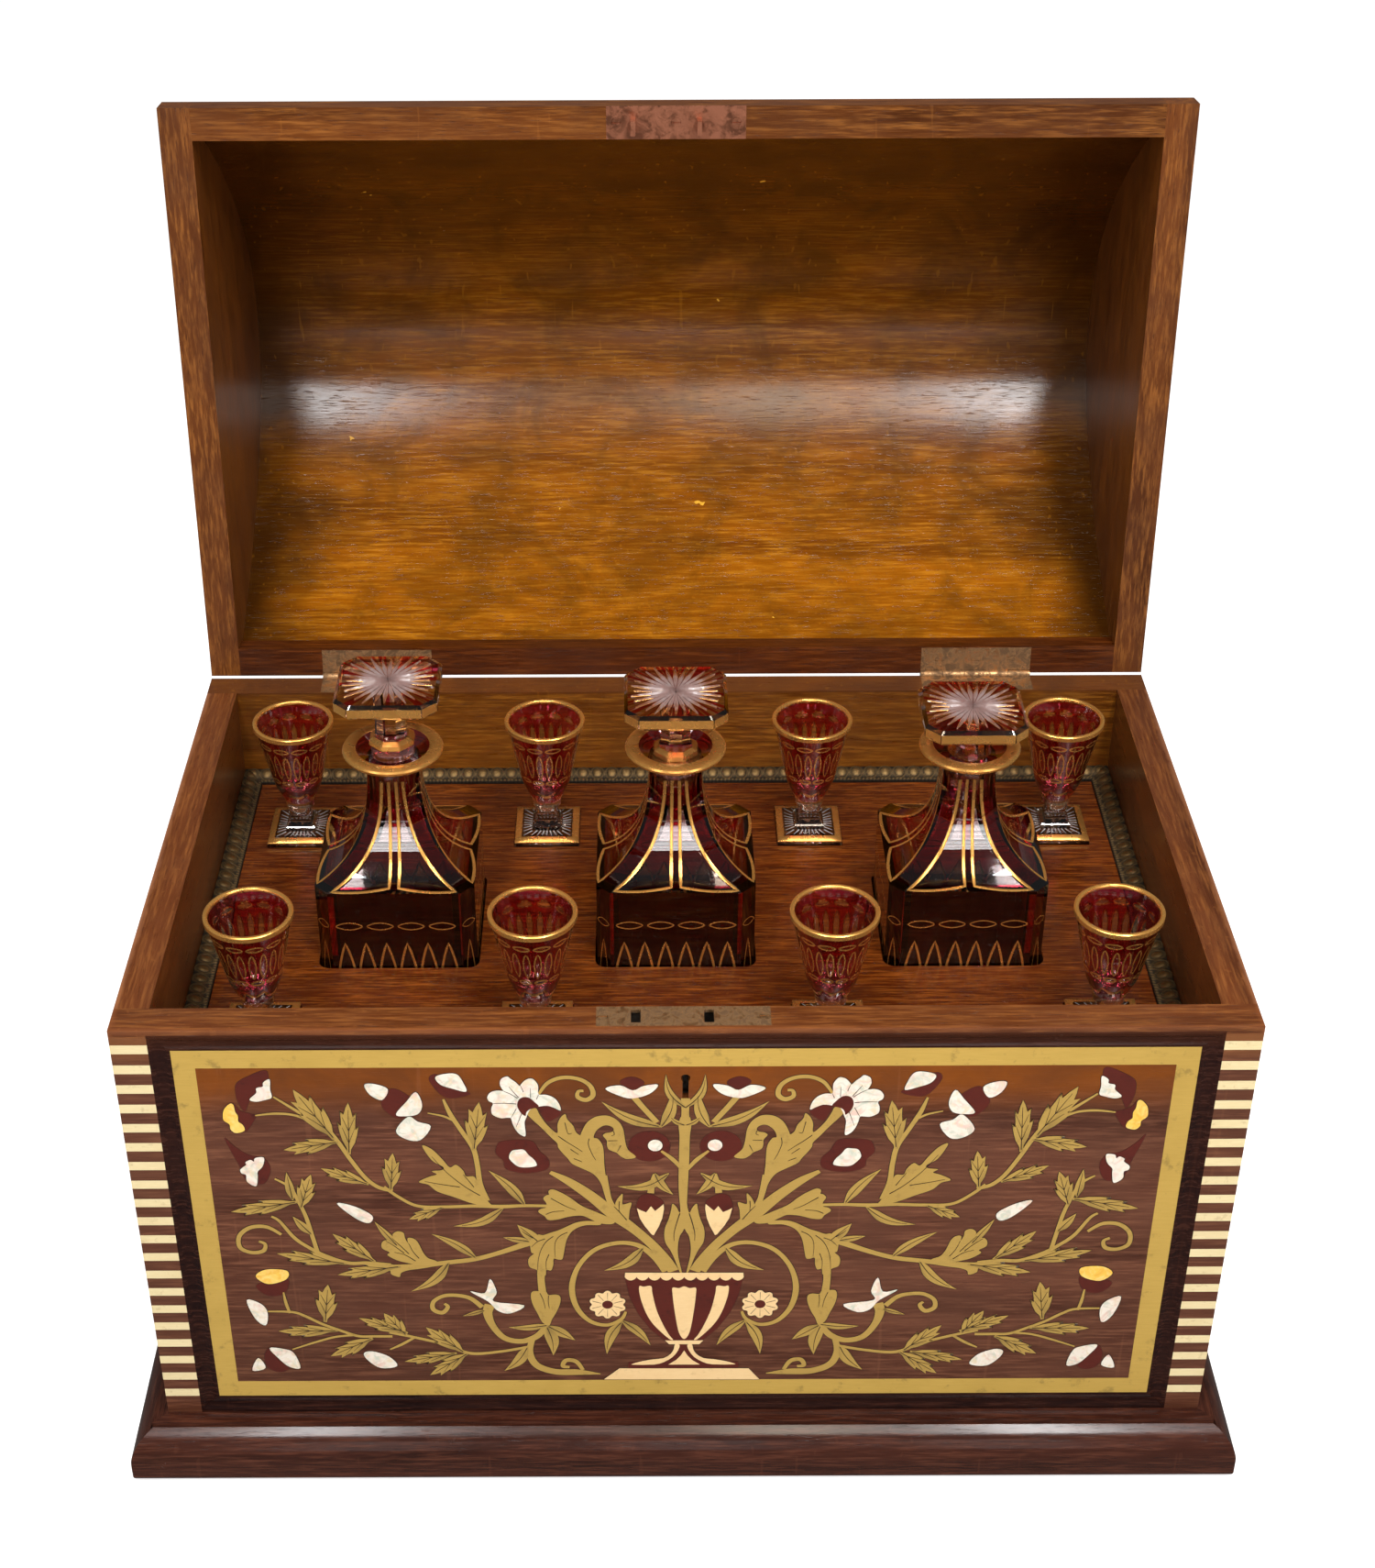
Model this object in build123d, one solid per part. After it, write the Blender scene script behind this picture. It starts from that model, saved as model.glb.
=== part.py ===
"""A domed liqueur cabinet: a veneered chest with a vaulted lid, a tray, three decanters and eight glasses.

Millimetres. +X is to the right, +Y to the back, +Z up. The origin is on the surface that the
cabinet stands on, under the middle of the case. The lid is drawn shut and then turned open.
"""

import math
import os

from build123d import *

# Case boards
case_width = 520.0
case_depth = 312.0
case_height = 277.0
wall = 16.3
bottom_thickness = 10.0
rim_lip = 4.0
face_depth = 2.0

# Base moulding
base_height = 31.0
base_projection = 18.0
base_toe_radius = 4.0
base_nose_height = 12.0
base_fillet_height = 3.5
base_ledge = 7.0

# Striped corner bands on the front
band_width = 17.0
bone_pitch = 11.64
bone_height = 5.1
bone_first_drop = 10.8

# Front frames and panel
gilt_side_margin = 27.0
gilt_top_margin = 11.5
gilt_bottom_margin = 11.5
gilt_width = 10.3
dark_hollow_depth = 0.9
dark_hollow_share = 0.7

# Lid
lid_gap = 0.4
lid_open_angle = 95.27
lid_rail_height = 15.0
lid_rail_rounding = 4.0
vault_inset = 14.0
vault_rise = 140.0
vault_thickness = 13.0

# Butt hinges
hinge_length = 61.0
hinge_inset = 93.0
leaf_width = 15.5
leaf_thickness = 1.8
knuckle_radius = 2.4
hinge_axis_stand_out = 0.8
knuckle_clearance = 0.2
knuckle_count = 5
knuckle_gap = 0.2
hinge_pin_radius = 1.2
running_clearance = 0.05

# Wood screws
screw_head_radius = 2.4
screw_head_height = 1.4
screw_shank_radius = 1.2
screw_length = 9.0
screw_clearance = 0.1
screw_slot_width = 0.5
screw_slot_depth = 0.4

# Box lock, bolt and strike plate
lock_plate_length = 79.0
lock_plate_width = 14.0
lock_plate_thickness = 1.6
lock_case_length = 68.0
lock_case_height = 44.0
lock_case_thickness = 12.0
lock_sheet = 1.0
lock_centre_x = -1.0
staple_offset_x = -6.0
staple_spacing = 33.2
staple_thickness = 2.4
staple_width = 7.0
staple_height = 9.5
staple_eye_width = 4.0
staple_eye_height = 4.4
staple_eye_margin = 2.1
staple_clearance = 1.0
strike_length = 70.0
strike_thickness = 1.4
bolt_thickness = 3.0
bolt_bar_height = 5.0
bolt_finger_height = 3.2
bolt_finger_length = 5.0
bolt_post_width = 3.0
bolt_bar_drop = 5.0
bolt_running_gap = 0.1
bolt_runner_height = 2.0
keyhole_eye_radius = 2.2
keyhole_slot_width = 2.8
keyhole_height = 14.5
keyhole_drop = 41.0

# Tray and its gallery trim
tray_drop = 53.5
tray_thickness = 9.0
tray_clearance = 0.3
well_clearance = 1.0
well_corner_radius = 6.0
foot_recess_depth = 1.2
foot_recess_clearance = 0.5
trim_width = 10.5
trim_height = 5.0
trim_edge_height = 1.8
trim_top_width = 2.0
trim_crown_height = 1.0
bearer_width = 12.0
bearer_height = 10.0

# Decanter shelf, below the top of the tray
shelf_drop = 70.0
shelf_thickness = 9.0

# Decanters
decanter_spacing = 142.0
middle_decanter_shift = -2.8
decanter_side = 79.0
decanter_corner_cut = 6.8
decanter_body_height = 115.0
decanter_neck_height = 49.0
decanter_neck_width = 25.8
decanter_wall = 4.2
decanter_base_thickness = 12.0
lip_diameter = 49.5
lip_thickness = 3.0
lip_height = 12.5
lip_rounding = 1.2
mouth_diameter = 36.5
mouth_depth = 3.6
bore_diameter = 19.2
bore_top_diameter = 21.4
bore_taper_height = 15.4
bore_straight_height = 11.5
shoulder_middle_share = 0.58
shoulder_low_share = 0.06
shoulder_neck_share = 0.023
shoulder_high_share = 0.30

# Stoppers: how far each stands above the seat of its decanter
left_stopper_rise = 6.6
middle_stopper_rise = 0.0
right_stopper_rise = -9.0
stopper_plate_side = 50.0
stopper_plate_thickness = 8.0
stopper_corner_cut = 7.0
stopper_bevel = 1.7
stopper_stem_width = 16.0
stopper_stem_flare = 1.6
stopper_stem_height = 23.9
stopper_collar_height = 2.1
stopper_collar_step = 0.6
stopper_plug_height = 15.4
stopper_plug_taper_share = 0.07
stopper_fit = 0.3
stopper_tip_rounding = 1.0

# Glasses
glass_end_inset = 39.2
glass_row_inset = 53.5
glass_row_shift = -2.0
glass_foot_side = 34.5
glass_foot_edge = 4.0
glass_foot_border = 4.3
glass_foot_rise = 1.2
glass_block_side = 16.0
glass_block_step = 2.2
glass_block_slope = 2.4
glass_stem_side = 11.2
glass_stem_height = 4.7
glass_collar_side = 9.4
glass_bowl_base = 22.4
glass_height = 70.6
glass_rim_radius = 21.1
glass_wall = 2.0
glass_bowl_floor = 4.0
bowl_radius_shares = (0.40, 0.515, 0.615, 0.715, 0.795, 0.915)
bowl_height_shares = (0.02, 0.125, 0.25, 0.465, 0.615, 0.863)

# Lengths that only help to build cuts
overrun = 2.0

# Places worked out from the sizes above
half_width = case_width / 2
half_depth = case_depth / 2
inner_width = case_width - 2 * wall
inner_depth = case_depth - 2 * wall
tray_top = case_height - tray_drop
face_top = case_height - rim_lip
face_height = face_top - base_height
bone_first_z = case_height - bone_first_drop
bone_count = 1 + int((bone_first_z - bone_height / 2 - base_height) / bone_pitch)
face_back_y = face_depth - half_depth
gilt_outer_width = case_width - 2 * gilt_side_margin
gilt_bottom = base_height + gilt_bottom_margin
gilt_top = case_height - gilt_top_margin
gilt_outer_height = gilt_top - gilt_bottom
gilt_middle_z = (gilt_top + gilt_bottom) / 2
lid_floor = case_height + lid_gap
hinge_axis_y = half_depth + hinge_axis_stand_out
hinge_axis_z = case_height + lid_gap / 2
hinge_line = Axis((0, hinge_axis_y, hinge_axis_z), (1, 0, 0))
shelf_top = tray_top - shelf_drop
lip_top = decanter_body_height + decanter_neck_height + lip_height
bore_top = lip_top - mouth_depth
bore_shoulder = bore_top - bore_taper_height
glass_floor = tray_top - foot_recess_depth


def block(low, high):
    """A plain box between two opposite corners."""
    size = [b - a for a, b in zip(low, high)]
    middle = [(a + b) / 2 for a, b in zip(low, high)]
    return Pos(*middle) * Box(*size)


def prism(points, length):
    """An outline given as (y, z) points, drawn out along X and centred on X = 0."""
    outline = make_face(Polyline(*[(0, y, z) for y, z in points], close=True))
    return Pos(-length / 2, 0, 0) * extrude(outline, amount=length, dir=(1, 0, 0))


def rod(start, end, radius):
    """A round bar from one point to another."""
    way = Vector(*end) - Vector(*start)
    plane = Plane(origin=start, z_dir=way)
    return extrude(plane * Circle(radius), amount=way.length)


def square_frustum(low_side, high_side, low_z, high_z):
    """A four-sided frustum between two heights."""
    low = Pos(0, 0, low_z) * Rectangle(low_side, low_side)
    high = Pos(0, 0, high_z) * Rectangle(high_side, high_side)
    return loft([low, high], ruled=True)


def octagon_frustum(low_width, high_width, low_z, high_z):
    """An eight-sided frustum, its sizes given across the flats."""
    to_corner = 2 * math.cos(math.pi / 8)
    turn = Rot(0, 0, 180 / 8)
    low = Pos(0, 0, low_z) * turn * RegularPolygon(low_width / to_corner, 8)
    high = Pos(0, 0, high_z) * turn * RegularPolygon(high_width / to_corner, 8)
    return loft([low, high], ruled=True)


def turned(points):
    """A solid of revolution about Z from (radius, height) points."""
    outline = make_face(Polyline(*[(r, 0, z) for r, z in points], close=True))
    return revolve(outline, axis=Axis.Z)


def mitred_loop(section, across, length, depth):
    """Four bars round a rectangle in the XY plane, mitred at the corners.

    The section is a face in the YZ plane: Y runs inwards from the outer edge, Z up.
    """
    reach = length + depth
    bars = {}
    sides = {"front": (length, depth, 0), "back": (length, depth, 180)}
    sides |= {"left": (depth, length, -90), "right": (depth, length, 90)}
    for name, (long, other, turn) in sides.items():
        bar = Pos(-long / 2, 0, 0) * extrude(section, amount=long, dir=(1, 0, 0))
        ends = [(-long / 2, 0), (long / 2, 0), (long / 2 - across, across), (across - long / 2, across)]
        wedge = extrude(make_face(Polyline(*ends, close=True)), amount=reach, both=True)
        bars[name] = Rot(0, 0, turn) * Pos(0, -other / 2, 0) * (bar & wedge)
    return bars


def rectangle_section(across, height):
    """A plain rectangular section for a mitred loop."""
    return make_face(Polyline((0, 0, 0), (0, across, 0), (0, across, height), (0, 0, height), close=True))


def stand_on_face(shape):
    """Turns a loop drawn in the XY plane so that it lies on the front of the case."""
    return Pos(0, face_back_y, gilt_middle_z) * Rot(90, 0, 0) * shape


# Screws: the head's top is at the origin and the shank runs down
def screw():
    """One slotted countersunk wood screw, with its point down."""
    head = turned([
        (0, 0), (screw_head_radius, 0), (screw_shank_radius, -screw_head_height), (0, -screw_head_height),
    ])
    shank = rod((0, 0, -screw_head_height), (0, 0, -screw_length), screw_shank_radius)
    slot = Box(2 * screw_head_radius, screw_slot_width, 2 * screw_slot_depth)
    return head + shank - slot


def screw_hole():
    """The countersunk hole that the screw sits in, a little larger all round."""
    top = screw_head_radius + screw_clearance
    low = screw_shank_radius + screw_clearance
    cone = turned([
        (0, screw_clearance), (top, screw_clearance), (top, 0), (low, -screw_head_height),
        (low, -screw_length - screw_clearance), (0, -screw_length - screw_clearance),
    ])
    return cone


hinge_screw_steps = (-1, 0, 1)
hinge_screw_pitch = hinge_length / 3
hinge_screw_y = half_depth - leaf_width / 2
hinge_reach = case_width / 2 - hinge_inset
hinge_centres = (-hinge_reach, hinge_reach)
hinge_screw_spots = [(c + s * hinge_screw_pitch, hinge_screw_y) for c in hinge_centres for s in hinge_screw_steps]
lock_screw_reach = (lock_plate_length + lock_case_length) / 4
lock_middle_y = -half_depth + wall - lock_plate_width / 2
lock_screw_spots = [(lock_centre_x + s * lock_screw_reach, lock_middle_y) for s in (-1, 1)]
strike_middle_y = -half_depth + wall / 2
strike_screw_spots = [(lock_centre_x + s * strike_length * 3 / 7, strike_middle_y) for s in (-1, 0, 1)]
face_up_down = Rot(180, 0, 0)


def at_rim(spots, shape):
    """Copies of a shape on the case's rim."""
    return [Pos(x, y, case_height) * shape for x, y in spots]


def at_lid(spots, shape):
    """Copies of a shape on the underside of the shut lid, turned to point up."""
    return [Pos(x, y, lid_floor) * face_up_down * shape for x, y in spots]


# Lock, drawn round the line of its bolt
staple_xs = [staple_offset_x + s * staple_spacing / 2 for s in (-1, 1)]
lock_case_top = case_height - lock_plate_thickness
lock_case_floor = lock_case_top - lock_case_height
lock_front_y = -half_depth + wall - lock_case_thickness
bolt_middle_y = lock_middle_y
eye_low = lid_floor - staple_height + staple_eye_margin
eye_middle_z = eye_low + staple_eye_height / 2
bolt_travel = staple_clearance + staple_thickness + staple_clearance
bolt_bar_top = eye_middle_z - bolt_bar_drop
bolt_bar_low = bolt_bar_top - bolt_bar_height
lock_case_low_x = lock_centre_x - lock_case_length / 2
lock_case_high_x = lock_centre_x + lock_case_length / 2
keyhole_z = case_height - keyhole_drop


def lock_case_solid():
    """The lock's open-topped box, with a key slot in front and a ledge that the bolt runs on."""
    low = (lock_case_low_x, lock_front_y, lock_case_floor)
    high = (lock_case_high_x, wall - half_depth, lock_case_top)
    hollow_low = [v + lock_sheet for v in low]
    hollow_high = (high[0] - lock_sheet, high[1] - lock_sheet, high[2] + overrun)
    runner_top = bolt_bar_low - bolt_running_gap
    runner = block(
        (low[0] + lock_sheet / 2, low[1] + lock_sheet / 2, runner_top - bolt_runner_height),
        (high[0] - lock_sheet / 2, bolt_middle_y + bolt_thickness / 2, runner_top),
    )
    return block(low, high) - block(hollow_low, hollow_high) + runner - keyhole_cut()


def keyhole_cut():
    """The keyhole: a round eye over a narrow slot, driven in from the front."""
    back = lock_front_y + lock_sheet + lock_sheet / 2
    front = -half_depth - overrun
    eye_z = keyhole_z + keyhole_height - keyhole_eye_radius
    eye = rod((0, front, eye_z), (0, back, eye_z), keyhole_eye_radius)
    half = keyhole_slot_width / 2
    return eye + block((-half, front, keyhole_z), (half, back, eye_z))


def lock_plate_solid():
    """The selvedge plate let into the rim, with two square staple slots."""
    half = lock_plate_length / 2
    low_y = lock_middle_y - lock_plate_width / 2
    plate = block(
        (lock_centre_x - half, low_y, lock_case_top),
        (lock_centre_x + half, low_y + lock_plate_width, case_height),
    )
    for x in staple_xs:
        plate -= staple_slot(x)
    for hole in at_rim(lock_screw_spots, screw_hole()):
        plate -= hole
    return plate


def staple_slot(x):
    """The square slot that a staple of the lid drops into."""
    half_x = staple_thickness / 2 + staple_clearance
    half_y = staple_width / 2 + staple_clearance
    return block(
        (x - half_x, lock_middle_y - half_y, lock_case_top - overrun),
        (x + half_x, lock_middle_y + half_y, case_height + overrun),
    )


def bolt_solid():
    """The sliding bolt: a bar with two posts, each with a finger that enters a staple."""
    half_y = bolt_thickness / 2
    tips = [x - staple_thickness / 2 - staple_clearance for x in staple_xs]
    roots = [tip - bolt_finger_length for tip in tips]
    bolt = block(
        (roots[0] - bolt_post_width, bolt_middle_y - half_y, bolt_bar_low),
        (roots[1], bolt_middle_y + half_y, bolt_bar_top),
    )
    finger_half = bolt_finger_height / 2
    for tip, root in zip(tips, roots):
        bolt += block(
            (root - bolt_post_width, bolt_middle_y - half_y, bolt_bar_low),
            (root, bolt_middle_y + half_y, eye_middle_z + finger_half),
        )
        bolt += block(
            (root - bolt_post_width, bolt_middle_y - half_y, eye_middle_z - finger_half),
            (tip, bolt_middle_y + half_y, eye_middle_z + finger_half),
        )
    return bolt


def lock_mortise():
    """The room in the front board for the lock case, its plate and the screws."""
    case_low = (lock_case_low_x, lock_front_y, lock_case_floor)
    case_high = (lock_case_high_x, overrun + wall - half_depth, case_height + overrun)
    half = lock_plate_length / 2
    low_y = lock_middle_y - lock_plate_width / 2
    plate = block(
        (lock_centre_x - half, low_y, lock_case_top),
        (lock_centre_x + half, low_y + lock_plate_width + overrun, case_height + overrun),
    )
    mortise = block(case_low, case_high) + plate
    for hole in at_rim(lock_screw_spots, screw_hole()):
        mortise += hole
    return mortise


def strike_solids():
    """The strike plate under the lid's front rail and its two staples, lid shut."""
    half = strike_length / 2
    plate = block(
        (lock_centre_x - half, -half_depth, lid_floor),
        (lock_centre_x + half, wall - half_depth, lid_floor + strike_thickness),
    )
    for hole in at_lid(strike_screw_spots, screw_hole()):
        plate -= hole
    staples = []
    for x in staple_xs:
        low_z = lid_floor - staple_height
        body = block(
            (x - staple_thickness / 2, lock_middle_y - staple_width / 2, low_z),
            (x + staple_thickness / 2, lock_middle_y + staple_width / 2, lid_floor),
        )
        eye = block(
            (x - staple_thickness, lock_middle_y - staple_eye_width / 2, eye_low),
            (x + staple_thickness, lock_middle_y + staple_eye_width / 2, eye_low + staple_eye_height),
        )
        staples.append(body - eye)
    return plate, Compound(children=staples)


# Case boards
def front_board():
    """The front board, rebated for its decoration and cut for the lock and key."""
    board = block((-half_width, -half_depth, 0), (half_width, wall - half_depth, case_height))
    rebate = block(
        (-half_width - overrun, -half_depth - overrun, base_height),
        (half_width + overrun, face_back_y, face_top),
    )
    return board - rebate - lock_mortise() - keyhole_cut()


def back_board():
    """The back board, with the hinge leaves' seats and screw holes in its rim."""
    board = block((-half_width, half_depth - wall, 0), (half_width, half_depth, case_height))
    for x in hinge_centres:
        board -= leaf_seat(x, case_height - leaf_thickness, case_height + overrun)
    for hole in at_rim(hinge_screw_spots, screw_hole()):
        board -= hole
    return board


def leaf_seat(x, low, high):
    """The shallow seat of one hinge leaf, open at the back, and the groove for its barrel."""
    half = hinge_length / 2
    seat = block((x - half, half_depth - leaf_width, low), (x + half, half_depth + overrun, high))
    return seat + barrel_room(x)


def barrel_room(x):
    """The round room that a hinge's barrel turns in, a clearance wider and longer than it."""
    half = hinge_length / 2 + knuckle_clearance
    start, end = (x - half, hinge_axis_y, hinge_axis_z), (x + half, hinge_axis_y, hinge_axis_z)
    return rod(start, end, knuckle_radius + knuckle_clearance)


def side_board(side):
    """One side board, between the front and the back."""
    inner = side * (half_width - wall)
    low_x, high_x = sorted((inner, side * half_width))
    return block((low_x, wall - half_depth, 0), (high_x, half_depth - wall, case_height))


def bottom_board():
    """The bottom, let in flush between the four boards."""
    return block(
        (wall - half_width, wall - half_depth, 0),
        (half_width - wall, half_depth - wall, bottom_thickness),
    )


def base_section():
    """The base moulding's section: a rounded toe, a broad nose and a square fillet on top."""
    nose_top = base_height - base_fillet_height
    ledge_start = base_projection - base_ledge
    toe_middle = base_toe_radius * (1 - math.sqrt(0.5))
    edges = [
        Line((0, base_projection, 0), (0, base_toe_radius, 0)),
        ThreePointArc((0, base_toe_radius, 0), (0, toe_middle, toe_middle), (0, 0, base_toe_radius)),
        Line((0, 0, base_toe_radius), (0, 0, base_nose_height)),
        TangentArc((0, 0, base_nose_height), (0, ledge_start, nose_top), tangent=(0, 0, 1)),
        Line((0, ledge_start, nose_top), (0, ledge_start, base_height)),
        Line((0, ledge_start, base_height), (0, base_projection, base_height)),
        Line((0, base_projection, base_height), (0, base_projection, 0)),
    ]
    return make_face(edges)


# Front decoration
def corner_bands():
    """The bone slips and the wood slips between them, down both front corners."""
    bone, wood = [], []
    for side in (-1, 1):
        low_x, high_x = sorted((side * half_width, side * (half_width - band_width)))
        top = face_top
        for k in range(bone_count):
            middle = bone_first_z - k * bone_pitch
            bone_top = middle + bone_height / 2
            wood.append(block((low_x, -half_depth, bone_top), (high_x, face_back_y, top)))
            top = bone_top - bone_height
            bone.append(block((low_x, -half_depth, top), (high_x, face_back_y, bone_top)))
        wood.append(block((low_x, -half_depth, base_height), (high_x, face_back_y, top)))
    return Compound(children=bone), Compound(children=wood)


def gilt_frame():
    """Four mitred gilt strips round the front panel."""
    section = rectangle_section(gilt_width, face_depth)
    bars = mitred_loop(section, gilt_width, gilt_outer_width, gilt_outer_height)
    return Compound(children=[stand_on_face(bar) for bar in bars.values()])


def dark_frame():
    """Four hollowed, mitred, ebonised strips between the corner bands, the rim and the gilt frame."""
    reach_x, inner_x = half_width - band_width, gilt_outer_width / 2
    outer = [(-reach_x, base_height), (reach_x, base_height), (reach_x, face_top), (-reach_x, face_top)]
    inner = [(-inner_x, gilt_bottom), (inner_x, gilt_bottom), (inner_x, gilt_top), (-inner_x, gilt_top)]
    strips = []
    for k in range(4):
        ends = [outer[k - 1], outer[k], inner[k], inner[k - 1]]
        outline = make_face(Polyline(*[(x, -half_depth, z) for x, z in ends], close=True))
        strip = extrude(outline, amount=face_depth, dir=(0, 1, 0))
        strips.append(strip - hollow_groove(*ends))
    return Compound(children=strips)


def hollow_groove(outer_start, outer_end, inner_end, inner_start):
    """The round-bottomed groove along the middle of one dark strip."""
    level = outer_start[1] == outer_end[1]
    across = abs(outer_end[1] - inner_end[1]) if level else abs(outer_end[0] - inner_end[0])
    half_groove = across * dark_hollow_share / 2
    radius = (half_groove**2 + dark_hollow_depth**2) / (2 * dark_hollow_depth)
    y = dark_hollow_depth - half_depth - radius
    if level:
        z = (outer_start[1] + inner_start[1]) / 2
        return rod((outer_start[0], y, z), (outer_end[0], y, z), radius)
    x = (outer_start[0] + inner_start[0]) / 2
    return rod((x, y, outer_start[1]), (x, y, outer_end[1]), radius)


def front_panel():
    """The rosewood panel that carries the inlay, pierced by the keyhole."""
    half = gilt_outer_width / 2 - gilt_width
    panel = block(
        (-half, -half_depth, gilt_bottom + gilt_width),
        (half, face_back_y, gilt_top - gilt_width),
    )
    return panel - keyhole_cut()


# Tray, gallery trim, shelf and bearers
glass_row_reach = inner_depth / 2 - glass_row_inset
glass_end_x = inner_width / 2 - glass_end_inset
glass_columns = (-glass_end_x, -decanter_spacing / 2, decanter_spacing / 2, glass_end_x)
glass_spots = [(x, glass_row_shift + s * glass_row_reach) for s in (1, -1) for x in glass_columns]
decanter_xs = (-decanter_spacing, middle_decanter_shift, decanter_spacing)
stopper_rises = (left_stopper_rise, middle_stopper_rise, right_stopper_rise)


def tray_board():
    """The tray, with a square well for each decanter and a shallow seat for each glass."""
    half_x = inner_width / 2 - tray_clearance
    half_y = inner_depth / 2 - tray_clearance
    board = block((-half_x, -half_y, tray_top - tray_thickness), (half_x, half_y, tray_top))
    side = decanter_side + 2 * well_clearance
    well = extrude(RectangleRounded(side, side, well_corner_radius), amount=tray_thickness + 2 * overrun)
    for x in decanter_xs:
        board -= Pos(x, 0, tray_top - tray_thickness - overrun) * well
    seat_side = glass_foot_side + 2 * foot_recess_clearance
    for x, y in glass_spots:
        board -= block(
            (x - seat_side / 2, y - seat_side / 2, glass_floor),
            (x + seat_side / 2, y + seat_side / 2, tray_top + overrun),
        )
    return board


def trim_section():
    """The gallery trim's section: a flat top at the wall, falling in a curve to a thin front edge."""
    middle_y = (trim_width + trim_top_width) / 2 + trim_crown_height
    middle_z = (trim_height + trim_edge_height) / 2 + trim_crown_height
    edges = [
        Line((0, 0, 0), (0, trim_width, 0)),
        Line((0, trim_width, 0), (0, trim_width, trim_edge_height)),
        ThreePointArc(
            (0, trim_width, trim_edge_height),
            (0, middle_y, middle_z),
            (0, trim_top_width, trim_height),
        ),
        Line((0, trim_top_width, trim_height), (0, 0, trim_height)),
        Line((0, 0, trim_height), (0, 0, 0)),
    ]
    return make_face(edges)


def ledgers(top):
    """Four bearer strips on the inside of the case, below a board's underside."""
    section = rectangle_section(bearer_width, bearer_height)
    bars = mitred_loop(section, bearer_width, inner_width, inner_depth)
    return Compound(children=[Pos(0, 0, top - bearer_height) * bar for bar in bars.values()])


def decanter_shelf():
    """The shelf below the tray that the decanters stand on."""
    half_x = inner_width / 2 - tray_clearance
    half_y = inner_depth / 2 - tray_clearance
    return block((-half_x, -half_y, shelf_top - shelf_thickness), (half_x, half_y, shelf_top))


# Lid, drawn shut
def vault_arch(half_span, rise, low_y, high_y):
    """A parabolic arch over the rails, as an edge in the YZ plane."""
    spring = lid_floor + lid_rail_height
    return Bezier((0, low_y, spring), (0, (low_y + high_y) / 2, spring + 2 * rise), (0, high_y, spring))


def gable(side):
    """One end of the lid: a flat board under the outer arch."""
    spring = lid_floor + lid_rail_height
    rise = vault_rise + vault_thickness
    edges = [
        Line((0, -half_depth, lid_floor), (0, half_depth, lid_floor)),
        Line((0, half_depth, lid_floor), (0, half_depth, spring)),
        vault_arch(half_depth, rise, -half_depth, half_depth),
        Line((0, -half_depth, spring), (0, -half_depth, lid_floor)),
    ]
    board = extrude(make_face(edges), amount=wall, dir=(1, 0, 0))
    start = half_width - wall if side > 0 else -half_width
    return Pos(start, 0, 0) * board


def vault():
    """The bent board between the gables, from rail to rail."""
    spring = lid_floor + lid_rail_height
    inner = half_depth - vault_inset
    edges = [
        vault_arch(half_depth, vault_rise + vault_thickness, -half_depth, half_depth),
        Line((0, half_depth, spring), (0, inner, spring)),
        vault_arch(inner, vault_rise, -inner, inner),
        Line((0, -inner, spring), (0, -half_depth, spring)),
    ]
    length = inner_width
    return Pos(-length / 2, 0, 0) * extrude(make_face(edges), amount=length, dir=(1, 0, 0))


def lid_rail(side):
    """One long rail of the lid, its inner top edge rounded over."""
    outer = half_depth
    inner = half_depth - wall
    spring = lid_floor + lid_rail_height
    round_start = spring - lid_rail_rounding
    round_middle = lid_rail_rounding * (1 - math.sqrt(0.5))
    edges = [
        Line((0, inner, lid_floor), (0, outer, lid_floor)),
        Line((0, outer, lid_floor), (0, outer, spring)),
        Line((0, outer, spring), (0, inner + lid_rail_rounding, spring)),
        ThreePointArc(
            (0, inner + lid_rail_rounding, spring),
            (0, inner + round_middle, spring - round_middle),
            (0, inner, round_start),
        ),
        Line((0, inner, round_start), (0, inner, lid_floor)),
    ]
    rail = Pos(-inner_width / 2, 0, 0) * extrude(make_face(edges), amount=inner_width, dir=(1, 0, 0))
    return rail if side > 0 else Rot(0, 0, 180) * rail


def front_rail():
    """The lid's front rail, cut for the strike plate."""
    half = strike_length / 2
    rail = lid_rail(-1) - block(
        (lock_centre_x - half, -half_depth - overrun, lid_floor - overrun),
        (lock_centre_x + half, overrun + wall - half_depth, lid_floor + strike_thickness),
    )
    for hole in at_lid(strike_screw_spots, screw_hole()):
        rail -= hole
    return rail


def back_rail():
    """The lid's back rail, cut for the hinge leaves."""
    rail = lid_rail(1)
    for x in hinge_centres:
        rail -= leaf_seat(x, lid_floor - overrun, lid_floor + leaf_thickness)
    for hole in at_lid(hinge_screw_spots, screw_hole()):
        rail -= hole
    return rail


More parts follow.
